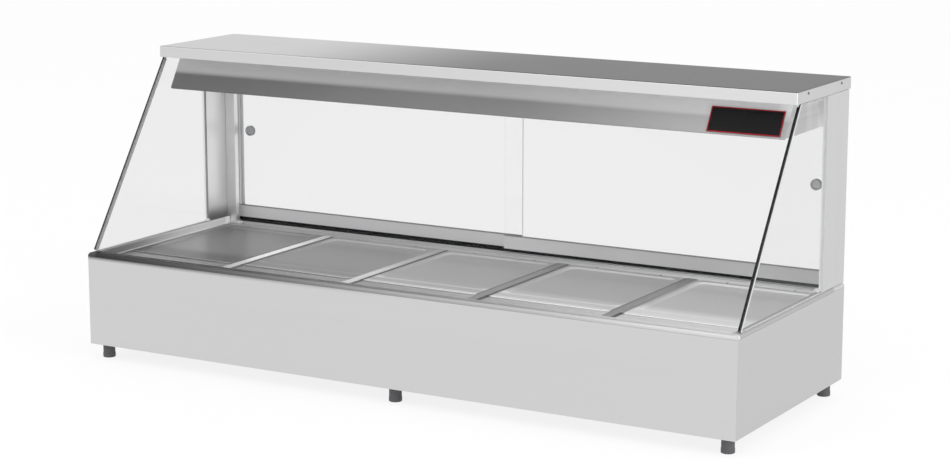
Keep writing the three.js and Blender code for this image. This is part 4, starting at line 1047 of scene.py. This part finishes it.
@dataclass
class Studio:
    """Camera, lamps, world and floor."""

    image_width: int = 950
    focal_pixels: float = 2376.55
    sensor: float = 36.0
    place: Triple = (2.7326, -4.6243, 1.4008)
    azimuth: float = 30.119
    elevation: float = 11.292
    far_limit: float = 100.0
    floor_half: float = 30.0
    aim: Triple = (0.0, 0.0, 0.35)
    soft_lamps: tuple[SoftLamp, ...] = (
        SoftLamp("key", (-2.2, -3.6, 3.6), 40.0, 3.0),
        SoftLamp("fill", (3.6, -0.9, 1.5), 45.0, 2.2))
    horizon_heights: Pair = (0.12, 0.50)
    horizon_turn: Pair = (-0.70, -0.20)
    horizon_depths: Pair = (0.02, 0.10)

    def camera(self) -> None:
        """Sets the camera where the photograph was taken from."""
        data = bpy.data.cameras.new("camera")
        data.sensor_width = self.sensor
        data.lens = self.focal_pixels / self.image_width * self.sensor
        data.clip_end = self.far_limit
        camera = placed("camera", data)
        camera.location = self.place
        tilt = math.radians(90.0 - self.elevation)
        camera.rotation_euler = (tilt, 0.0, math.radians(self.azimuth))
        bpy.context.scene.camera = camera

    def world(self) -> None:
        """A white room, with a darker band near the horizon that only metal shows."""
        world = bpy.data.worlds.new("studio")
        bpy.context.scene.world = world
        graph = Graph(world)
        around = graph.source("ShaderNodeTexCoord", "Generated")
        low = graph.part(around, Z).ramp(*self.horizon_heights, 1.0, 0.0)
        right = graph.part(around, X).ramp(*self.horizon_turn, 0.0, 1.0)
        faint, more = self.horizon_depths
        level = 1.0 - graph.ray("Is Glossy Ray") * low * (faint + right * more)
        background = graph.shader("ShaderNodeBackground", {"Color": WHITE, "Strength": level})
        graph.node("ShaderNodeOutputWorld", {}, {"Surface": background})

    def floor(self) -> None:
        """A white floor that keeps a faint shadow."""
        shape = bmesh.new()
        bmesh.ops.create_grid(shape, x_segments=1, y_segments=1, size=self.floor_half)
        floor = placed("floor", meshed("floor", shape))
        floor.data.materials.append(Ground("floor_white").material())

    def lamps(self) -> None:
        """Two broad soft lamps, one in front to the left and one to the right."""
        for lamp in self.soft_lamps:
            data = bpy.data.lights.new(lamp.name, "AREA")
            data.energy = lamp.power
            data.size = lamp.size
            light = placed(lamp.name, data)
            light.location = lamp.place
            toward = Vector(self.aim) - Vector(lamp.place)
            light.rotation_euler = toward.to_track_quat("-Z", "Y").to_euler()

    def build(self) -> None:
        """Sets up the whole studio."""
        bpy.context.scene.view_settings.view_transform = "Standard"
        self.camera()
        self.world()
        self.floor()
        self.lamps()
        LOG.info("studio: camera, world, floor and lamps")


@dataclass
class Section:
    """A sub-assembly of the case, made in the workshop."""

    shop: Workshop

    def build(self) -> None:
        """Builds and dresses the section's pieces."""
        raise NotImplementedError


@dataclass
class Base(Section):
    """The base: panels, deck with its rim, and feet."""

    foot_chamfer: float = 1.6 * MM
    foot_waist: float = 0.7 * MM
    waist_span: Pair = (0.30, 0.84)
    waist_slope: float = 0.04
    foot_steps: int = 32
    panel_screw: Screw = Screw(radius=3.6 * MM, rise=1.8 * MM)
    panel_screw_inset: float = 16.0 * MM
    panel_screw_columns: int = 5

    def foot(self, node: str) -> None:
        """One foot: a cylinder with a chamfered sole and a shallow waist under its head.

        Args:
            node: the foot's node.
        """
        low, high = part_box(node)
        centre = middle(low, high)
        radius = (high[0] - low[0]) / 2
        height = high[2] - low[2]
        chamfer = self.foot_chamfer
        waist = radius - self.foot_waist
        start, end = (height * share for share in self.waist_span)
        slope = height * self.waist_slope
        profile = [
            (0.0, 0.0), (radius - chamfer, 0.0), (radius - chamfer / 3, chamfer / 3),
            (radius, chamfer), (radius, start), (waist, start + slope), (waist, end - slope),
            (radius, end), (radius, height - chamfer / 2), (radius - chamfer / 2, height),
            (0.0, height),
        ]
        shape = turned(profile, (centre.x, centre.y, low[2]), Z.vector, self.foot_steps)
        piece = self.shop.add(f"{node}_turned", shape, self.shop.body_of(node), FOOT, "foot_rubber")
        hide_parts(node)

    def rear_screws(self) -> None:
        """Two rows of screws that hold the rear panel."""
        low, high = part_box("base_rear_panel")
        inset = self.panel_screw_inset
        left = low[0] + inset
        pitch = (high[0] - inset - left) / (self.panel_screw_columns - 1)
        centres = [(left + column * pitch, high[1], height)
                   for height in (low[2] + inset, high[2] - inset)
                   for column in range(self.panel_screw_columns)]
        shape = self.panel_screw.row(centres, Y.vector)
        self.shop.add("rear_panel_screws", shape, "case", SCREW, "panel_steel")

    def build(self) -> None:
        """Builds and dresses the base."""
        self.shop.form("base_front_panel", PANEL)
        for side in Side:
            self.shop.form(f"base_side_{side}", SIDE_PANEL)
        self.shop.dress_node("base_rear_panel", PANEL)
        self.shop.dress_node("base_floor", INNER)
        self.shop.form("deck_frame", DECK, FINE_EDGE)
        for row in ("front", "rear"):
            for column in ("left", "centre", "right"):
                self.foot(f"foot_{row}_{column}")
        self.rear_screws()


@dataclass
class Bays(Section):
    """Divider bars, trays, and the heated well under them."""

    strip_screw: Screw = Screw(radius=2.6 * MM, rise=1.1 * MM)
    strip_screw_spacing: float = 165.0 * MM
    strip_screw_setback: float = 9.0 * MM
    lip_radius: float = 1.3 * MM
    lip_inset: float = 6.0 * MM
    lip_drop: float = 0.5 * MM
    seal_reach: float = 2.6 * MM
    seal_cover: float = 3.0 * MM
    seal_heights: Pair = (0.05 * MM, 0.7 * MM)
    seal_edge: float = 0.2 * MM
    skirt_start: float = 11.1 * MM
    skirt_width: float = 5.0 * MM
    skirt_setback: float = 2.0 * MM
    skirt_heights: Pair = (0.1 * MM, 0.9 * MM)
    bead_radius: float = 1.8 * MM
    bead_offset: float = 2.4 * MM
    bead_front: float = -0.222
    rim_sheet: float = 2.2 * MM
    rim_reach: float = 18.0 * MM
    cap_depths: Pair = (2.5 * MM, 0.5 * MM)
    cap_edge: float = 0.3 * MM

    @staticmethod
    def deck_height() -> float:
        """The top of the deck, on which the lower door track is seated."""
        low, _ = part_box("lower_door_track")
        return low[2] - SEAT_GAP

    def strip_screws(self) -> None:
        """Two small screws behind each tray, in the strip along the doors."""
        centres = []
        for number in TRAYS:
            low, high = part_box(f"food_tray_{number}")
            for side in Side:
                centres.append((middle(low, high).x + side.value * self.strip_screw_spacing / 2,
                                high[1] + self.strip_screw_setback, self.deck_height()))
        shape = self.strip_screw.row(centres, Z.vector)
        self.shop.add("deck_strip_screws", shape, "case", SCREW, "deck_steel")

    def lip(self, number: int) -> None:
        """The rolled lip along a tray's front edge.

        Args:
            number: which tray.
        """
        low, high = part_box(f"food_tray_{number}")
        start = Vector((low[0] + self.lip_inset, low[1], high[2] - self.lip_drop))
        shape = rod(start, X.vector, high[0] - low[0] - 2 * self.lip_inset, self.lip_radius)
        self.shop.add(f"food_tray_lip_{number}", shape, f"tray_{number}", LIP, "tray_steel")

    def tray_seal(self, number: int, side: Side, finish: Moulded) -> None:
        """A dark strip on one side edge of a tray, over its gap to the bar: painted shadow.

        Args:
            number: which tray.
            side: which of its edges.
            finish: the strip's finish.
        """
        low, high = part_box(f"food_tray_{number}")
        edge = side.outer(low, high)
        bottom, top = (high[2] + rise for rise in self.seal_heights)
        shape = boxed((edge + side.value * self.seal_reach, low[1], bottom),
                      (edge - side.value * self.seal_cover, high[1] - END_GAP, top), self.seal_edge)
        self.shop.add(f"food_tray_seal_{number}_{side}", shape, f"tray_{number}", finish,
                      "black_plastic")

    def bar_skirts(self) -> None:
        """Dark strips beside the front end of each bar, where it lies on the deck: painted shadow.
        """
        parts = []
        tray_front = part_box("food_tray_1")[0][1]
        bottom, top = (self.deck_height() + rise for rise in self.skirt_heights)
        for number in BARS:
            low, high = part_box(f"divider_bar_{number}")
            for side in Side:
                near = middle(low, high).x + side.value * self.skirt_start
                far = near + side.value * self.skirt_width
                parts.append(boxed((near, low[1] + self.skirt_setback, bottom),
                                   (far, tray_front - END_GAP, top), self.seal_edge))
        self.shop.add("bar_skirts", merged(parts), "case", SHADOW_STRIP, "black_plastic")

    def rim_bead(self) -> None:
        """A bright bead along the foot of the left rim, standing in for the highlight on the rim's
        fold there.
        """
        low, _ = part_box("food_tray_1")
        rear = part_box("door_jamb_left")[0][1]
        start = Vector((low[0] - self.bead_offset, self.bead_front,
                        self.deck_height() + self.bead_radius))
        shape = rod(start, Y.vector, rear - self.bead_front - END_GAP, self.bead_radius)
        self.shop.add("rim_bead", shape, "case", RIM_HIGHLIGHT, "deck_steel")

    def rim_ends(self) -> None:
        """Steel caps that close the rim's open rear ends, from the rear panel up to the posts."""
        low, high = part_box("deck_frame")
        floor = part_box("base_rear_panel")[1][2]
        top = high[2] - self.rim_sheet
        front, rear = (high[1] - depth for depth in self.cap_depths)
        parts = []
        for side in Side:
            outer = side.outer(low, high)
            parts.append(boxed((outer - side.value * self.rim_sheet, front, floor),
                               (outer - side.value * self.rim_reach, rear, top), self.cap_edge))
        self.shop.add("rim_end_caps", merged(parts), "case", PANEL, "deck_steel")

    def build(self) -> None:
        """Builds and dresses the bays."""
        for number in TRAYS:
            self.lip(number)
        # Painted shadow along each side of the bars, paler left of the second bar and right of the
        # fourth.
        for number in BARS:
            self.tray_seal(number, Side.RIGHT, PALE_SEAL_AND_SHADOW if number == 2 else SHADOW_STRIP)
            self.tray_seal(number + 1, Side.LEFT, PALE_SEAL_AND_SHADOW if number == 4 else SHADOW_STRIP)
        self.bar_skirts()
        self.rim_bead()
        self.rim_ends()
        for number, finish in BARS.items():
            self.shop.form(f"divider_bar_{number}", finish)
        for number, finish in TRAYS.items():
            self.shop.form(f"food_tray_{number}", finish, FINE_EDGE)
        self.strip_screws()
        self.shop.dress_node("well_tank", INNER)
        for side in Side:
            self.shop.dress_node(f"heating_element_{side}", SHEATH)


@dataclass
class Glazing(Section):
    """The fixed display glass and its bonds."""

    inward: Triple = (0.0, 1.0, -0.667)
    inward_share: float = 0.9
    bond_depth: float = 2.5 * MM
    bond_inset: float = 3.0 * MM
    bond_edge: float = 0.4 * MM
    left_bond: float = 1.0 * MM
    right_bond: float = 4.0 * MM

    def bond(self, side: Side, width: float, finish: Moulded) -> None:
        """The bond in the corner between the front glass and a side glass.

        Args:
            side: which side glass.
            width: how wide it is.
            finish: its finish.
        """
        inward = Vector(self.inward).normalized()
        mesh = self.shop.frame["nodes"]["front_glass"].data
        faces = [face for face in mesh.polygons if face.normal.dot(inward) > self.inward_share]
        inner_face = max(faces, key=lambda face: face.area)
        verts = [mesh.vertices[index].co for index in inner_face.vertices]
        foot = min(verts, key=lambda vert: vert.z)
        top = max(verts, key=lambda vert: vert.z)
        run = Vector((0.0, top.y - foot.y, top.z - foot.z))
        inner = side.inner(*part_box(f"side_glass_{side}"))
        shape = boxed((inner, 0.0, self.bond_inset),
                      (inner - side.value * width, self.bond_depth, run.length - self.bond_inset),
                      self.bond_edge)
        turn = Matrix.Rotation(-math.atan2(run.y, run.z), 4, "X")
        place = Matrix.Translation(Vector((0.0, foot.y, foot.z)))
        bmesh.ops.transform(shape, matrix=place @ turn, verts=shape.verts)
        self.shop.add(f"glass_bond_{side}", shape, "case", finish, "black_plastic")

    def build(self) -> None:
        """Dresses the fixed glass."""
        self.bond(Side.LEFT, self.left_bond, PALE_SEAL_AND_SHADOW)
        self.bond(Side.RIGHT, self.right_bond, BOND)
        self.shop.dress_node("front_glass", FRONT_PANE)
        self.shop.dress_node("side_glass_left", LEFT_PANE)
        self.shop.dress_node("side_glass_right", RIGHT_PANE)


@dataclass
class RearFrame(Section):
    """Posts, jambs, tracks and the two sliding doors."""

    overlap: float = 0.1 * MM
    gasket_width: float = 1.3 * MM
    gasket_rise: float = 2.2 * MM
    gasket_edge: float = 0.3 * MM
    brush_foot: float = 0.3 * MM
    left_brush: float = 8.6 * MM
    right_brush: float = 6.8 * MM
    trim_rise: float = 0.5 * MM
    trim_wrap: float = 3.0 * MM
    trim_edge: float = 0.1 * MM
    trim_inset: float = 0.2 * MM
    trim_ends: Pair = (0.5 * MM, 2.0 * MM)
    stop_size: Triple = (14.0 * MM, 9.0 * MM, 7.0 * MM)
    foot_size: Triple = (12.0 * MM, 9.0 * MM, 6.0 * MM)
    foot_inset: float = 6.3 * MM
    foot_gap: float = 0.8 * MM
    block_edge: float = 1.2 * MM

    def door_gaskets(self, side: Side) -> None:
        """The dark gasket on either side of a pane, along the top of its rail.

        Args:
            side: which door.
        """
        low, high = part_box(f"door_rail_{side}")
        pane_low, pane_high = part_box(f"door_glass_{side}")
        faces = ((pane_low[1], -self.gasket_width), (pane_high[1], self.gasket_width))
        strips = [boxed((low[0], face, high[2] - self.overlap),
                        (high[0], face + out, high[2] + self.gasket_rise), self.gasket_edge)
                  for face, out in faces]
        self.shop.add(f"door_gasket_{side}", merged(strips), f"door_{side}", POST_SEAL,
                      "black_plastic")

    def door_brush(self, side: Side, head: float) -> None:
        """A black strip along the foot of a door, in front of its rail: painted shadow under the
        rail.

        Args:
            side: which door.
            head: how high it reaches above the rail's foot.
        """
        low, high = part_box(f"door_rail_{side}")
        shape = boxed((low[0], low[1] - self.trim_rise, low[2] + self.brush_foot),
                      (high[0], low[1] + self.overlap, low[2] + head), self.trim_edge)
        self.shop.add(f"door_brush_{side}", shape, f"door_{side}", RAIL_SHADOW, "black_plastic")

    def post_trim(self) -> None:
        """A dark grey strip down the inner front corner of the left post, behind the side glass."""
        low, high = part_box("rear_post_left")
        _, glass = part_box("side_glass_left")
        foot, head = self.trim_ends
        shape = boxed((glass[0] + self.trim_inset, low[1] - self.trim_rise, low[2] + foot),
                      (high[0] + self.trim_rise, low[1] + self.trim_wrap, high[2] - head),
                      self.trim_edge)
        self.shop.add("post_trim_left", shape, "case", POST_SEAL, "black_plastic")

    def block(self, side: Side, corner: Triple, size: Triple) -> Shape:
        """A small rounded block that runs from a corner towards the case's middle."""
        opposite = (corner[0] - side.value * size[0], corner[1] + size[1], corner[2] + size[2])
        return boxed(corner, opposite, self.block_edge)

    def nylon_blocks(self) -> None:
        """A stop for the doors at the foot of each jamb, and a foot in front of each post."""
        parts = []
        for side in Side:
            low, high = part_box(f"door_jamb_{side}")
            corner = (side.inner(low, high), low[1] + END_GAP, low[2])
            parts.append(self.block(side, corner, self.stop_size))
            low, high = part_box(f"rear_post_{side}")
            corner = (side.outer(low, high) - side.value * self.foot_inset,
                      low[1] - self.foot_size[1] - self.foot_gap, low[2])
            parts.append(self.block(side, corner, self.foot_size))
        self.shop.add("nylon_blocks", merged(parts), "case", NYLON, "black_plastic")

    def build(self) -> None:
        """Builds and dresses the rear of the case."""
        rail_shadow_heights = {Side.LEFT: self.left_brush, Side.RIGHT: self.right_brush}
        for side in Side:
            self.shop.form(f"rear_post_{side}", UPRIGHT)
            self.shop.form(f"door_jamb_{side}", JAMB)
            self.shop.dress_node(f"door_glass_{side}", DOOR_PANES[side])
            self.shop.form(f"door_rail_{side}", RAIL)
            self.shop.form(f"door_pull_{side}", PULL, FINE_EDGE)
            self.door_gaskets(side)
            self.door_brush(side, rail_shadow_heights[side])
        self.post_trim()
        self.nylon_blocks()
        self.shop.form("lower_door_track", TRACK, FINE_EDGE)
        self.shop.form("upper_door_track", RAIL)


@dataclass
class Canopy(Section):
    """Canopy, lamp hood, lamps and the bare plate."""

    border: float = 2.4 * MM
    border_rise: float = 0.12 * MM
    end_screw: Screw = Screw(radius=3.0 * MM, rise=1.4 * MM)
    end_screw_front: float = 61.0 * MM
    end_screw_rear: float = 58.0 * MM
    end_screw_drop: float = 8.5 * MM
    hem_radius: float = 1.8 * MM
    hem_setback: float = 0.9
    hem_drop: float = 0.3

    def hem(self) -> None:
        """The rolled hem along the lower edge of the hood's front."""
        low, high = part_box("lamp_hood")
        radius = self.hem_radius
        start = Vector((low[0] + END_GAP, low[1] + radius * self.hem_setback,
                        low[2] - radius * self.hem_drop))
        shape = rod(start, X.vector, high[0] - low[0] - 2 * END_GAP, radius)
        self.shop.add("lamp_hood_hem", shape, "case", HOOD, "hood_steel")

    def plate_border(self) -> None:
        """A thin coloured line round the face of the plate on the hood."""
        shape = self.shop.copy_of("badge_plate")
        front = max(shape.faces, key=lambda face: -face.normal.y * face.calc_area())
        normal = front.normal.copy()
        centre = front.calc_center_median()
        others = [face for face in shape.faces if face != front]
        bmesh.ops.delete(shape, geom=others, context="FACES")
        bmesh.ops.inset_region(shape, faces=shape.faces[:], use_boundary=True,
                               use_even_offset=True, thickness=self.border, depth=0.0)
        inner = min(shape.faces, key=lambda face: (face.calc_center_median() - centre).length)
        bmesh.ops.delete(shape, geom=[inner], context="FACES")
        raised = bmesh.ops.extrude_face_region(shape, geom=shape.faces[:])
        verts = [item for item in raised["geom"] if isinstance(item, bmesh.types.BMVert)]
        bmesh.ops.translate(shape, verts=verts, vec=normal * self.border_rise)
        self.shop.add("badge_plate_border", shape, "case", BADGE_EDGE, "red_plastic")

    def end_screws(self) -> None:
        """Two screws in each end of the canopy."""
        low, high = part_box("canopy_cover")
        height = high[2] - self.end_screw_drop
        for side in Side:
            centres = [(side.outer(low, high), depth, height)
                       for depth in (low[1] + self.end_screw_front, high[1] - self.end_screw_rear)]
            shape = self.end_screw.row(centres, X.vector * side.value)
            self.shop.add(f"canopy_screws_{side}", shape, "case", SCREW, "panel_steel")

    def build(self) -> None:
        """Builds and dresses the canopy and what hangs from it."""
        self.shop.form("canopy_cover", CANOPY, FINE_EDGE)
        self.shop.form("lamp_hood", HOOD)
        self.shop.form("badge_plate", BADGE, FINE_EDGE)
        self.hem()
        self.plate_border()
        self.end_screws()
        self.shop.dress_node("canopy_liner", INNER)
        self.shop.form("lamp_reflector", REFLECTOR, PLAIN)
        for side in Side:
            self.shop.form(f"quartz_lamp_{side}", LAMP, FINE_EDGE)
            for end in ("inner", "outer"):
                self.shop.form(f"lamp_holder_{side}_{end}", CERAMIC, SOFT_EDGE)


@dataclass
class Controls(Section):
    """The operator's controls on the rear panel."""

    plate_screw: Screw = Screw(radius=2.8 * MM, rise=1.3 * MM)
    plate_screw_inset: float = 9.0 * MM
    dial_gap: float = 3.0 * MM
    dial_marks: int = 10
    dial_sweep: float = 270.0
    mark_lengths: Pair = (2.5 * MM, 5.0 * MM)
    mark_width: float = 1.1 * MM
    mark_rise: float = 0.15 * MM
    mark_edge: float = 0.05 * MM
    pointer_span: Pair = (0.20, 0.62)
    pointer_sink: float = 0.2 * MM

    def plate_screws(self) -> None:
        """A screw in each corner of the control plate."""
        low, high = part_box("control_panel")
        inset = self.plate_screw_inset
        centres = [(x, high[1], z) for x in (low[0] + inset, high[0] - inset)
                   for z in (low[2] + inset, high[2] - inset)]
        shape = self.plate_screw.row(centres, Y.vector)
        self.shop.add("control_panel_screws", shape, "case", SCREW, "control_steel")

    def dial(self) -> None:
        """Marks round the knob, longer towards its hot end, and a pointer line on it."""
        low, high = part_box("thermostat_knob")
        _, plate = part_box("control_panel")
        centre = middle(low, high)
        half = self.mark_width / 2
        radius = (high[2] - low[2]) / 2 + self.dial_gap
        short, long = self.mark_lengths
        place = Matrix.Translation(Vector((centre.x, plate[1], centre.z)))
        marks = []
        for number in range(self.dial_marks):
            share = number / (self.dial_marks - 1)
            end = radius + short + (long - short) * share
            mark = boxed((-half, 0.0, radius), (half, self.mark_rise, end), self.mark_edge)
            turn = Matrix.Rotation(math.radians(self.dial_sweep * (0.5 - share)), 4, "Y")
            bmesh.ops.transform(mark, matrix=place @ turn, verts=mark.verts)
            marks.append(mark)
        self.shop.add("thermostat_dial_marks", merged(marks), "case", MARK, "control_steel")
        near, far = (centre.z + radius * share for share in self.pointer_span)
        pointer = boxed((centre.x - half, high[1] - self.pointer_sink, near),
                        (centre.x + half, high[1] + self.mark_rise, far), self.mark_edge)
        self.shop.add("thermostat_pointer", pointer, "knob", MARK, "black_plastic")

    def build(self) -> None:
        """Builds and dresses the controls."""
        self.shop.form("control_panel", CONTROL_PLATE, FINE_EDGE)
        self.shop.dress_node("thermostat", BLACK)
        self.shop.form("thermostat_knob", BLACK, KNOB_EDGE)
        self.shop.form("pilot_lamp", RED, PLAIN)
        self.shop.form("cable_gland", BLACK, FINE_EDGE)
        for name in ("heat", "lamp"):
            self.shop.form(f"switch_housing_{name}", BLACK, FINE_EDGE)
            self.shop.form(f"switch_rocker_{name}", RED)
        self.plate_screws()
        self.dial()


def main() -> None:
    """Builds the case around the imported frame."""
    logging.basicConfig(level=logging.INFO, format="%(name)s: %(message)s")
    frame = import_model()
    shop = Workshop(frame)
    Studio().build()
    for section in (Base, Bays, Glazing, RearFrame, Canopy, Controls):
        section(shop).build()
        LOG.info("%s is done", section.__name__)


if __name__ == "__main__":
    main()
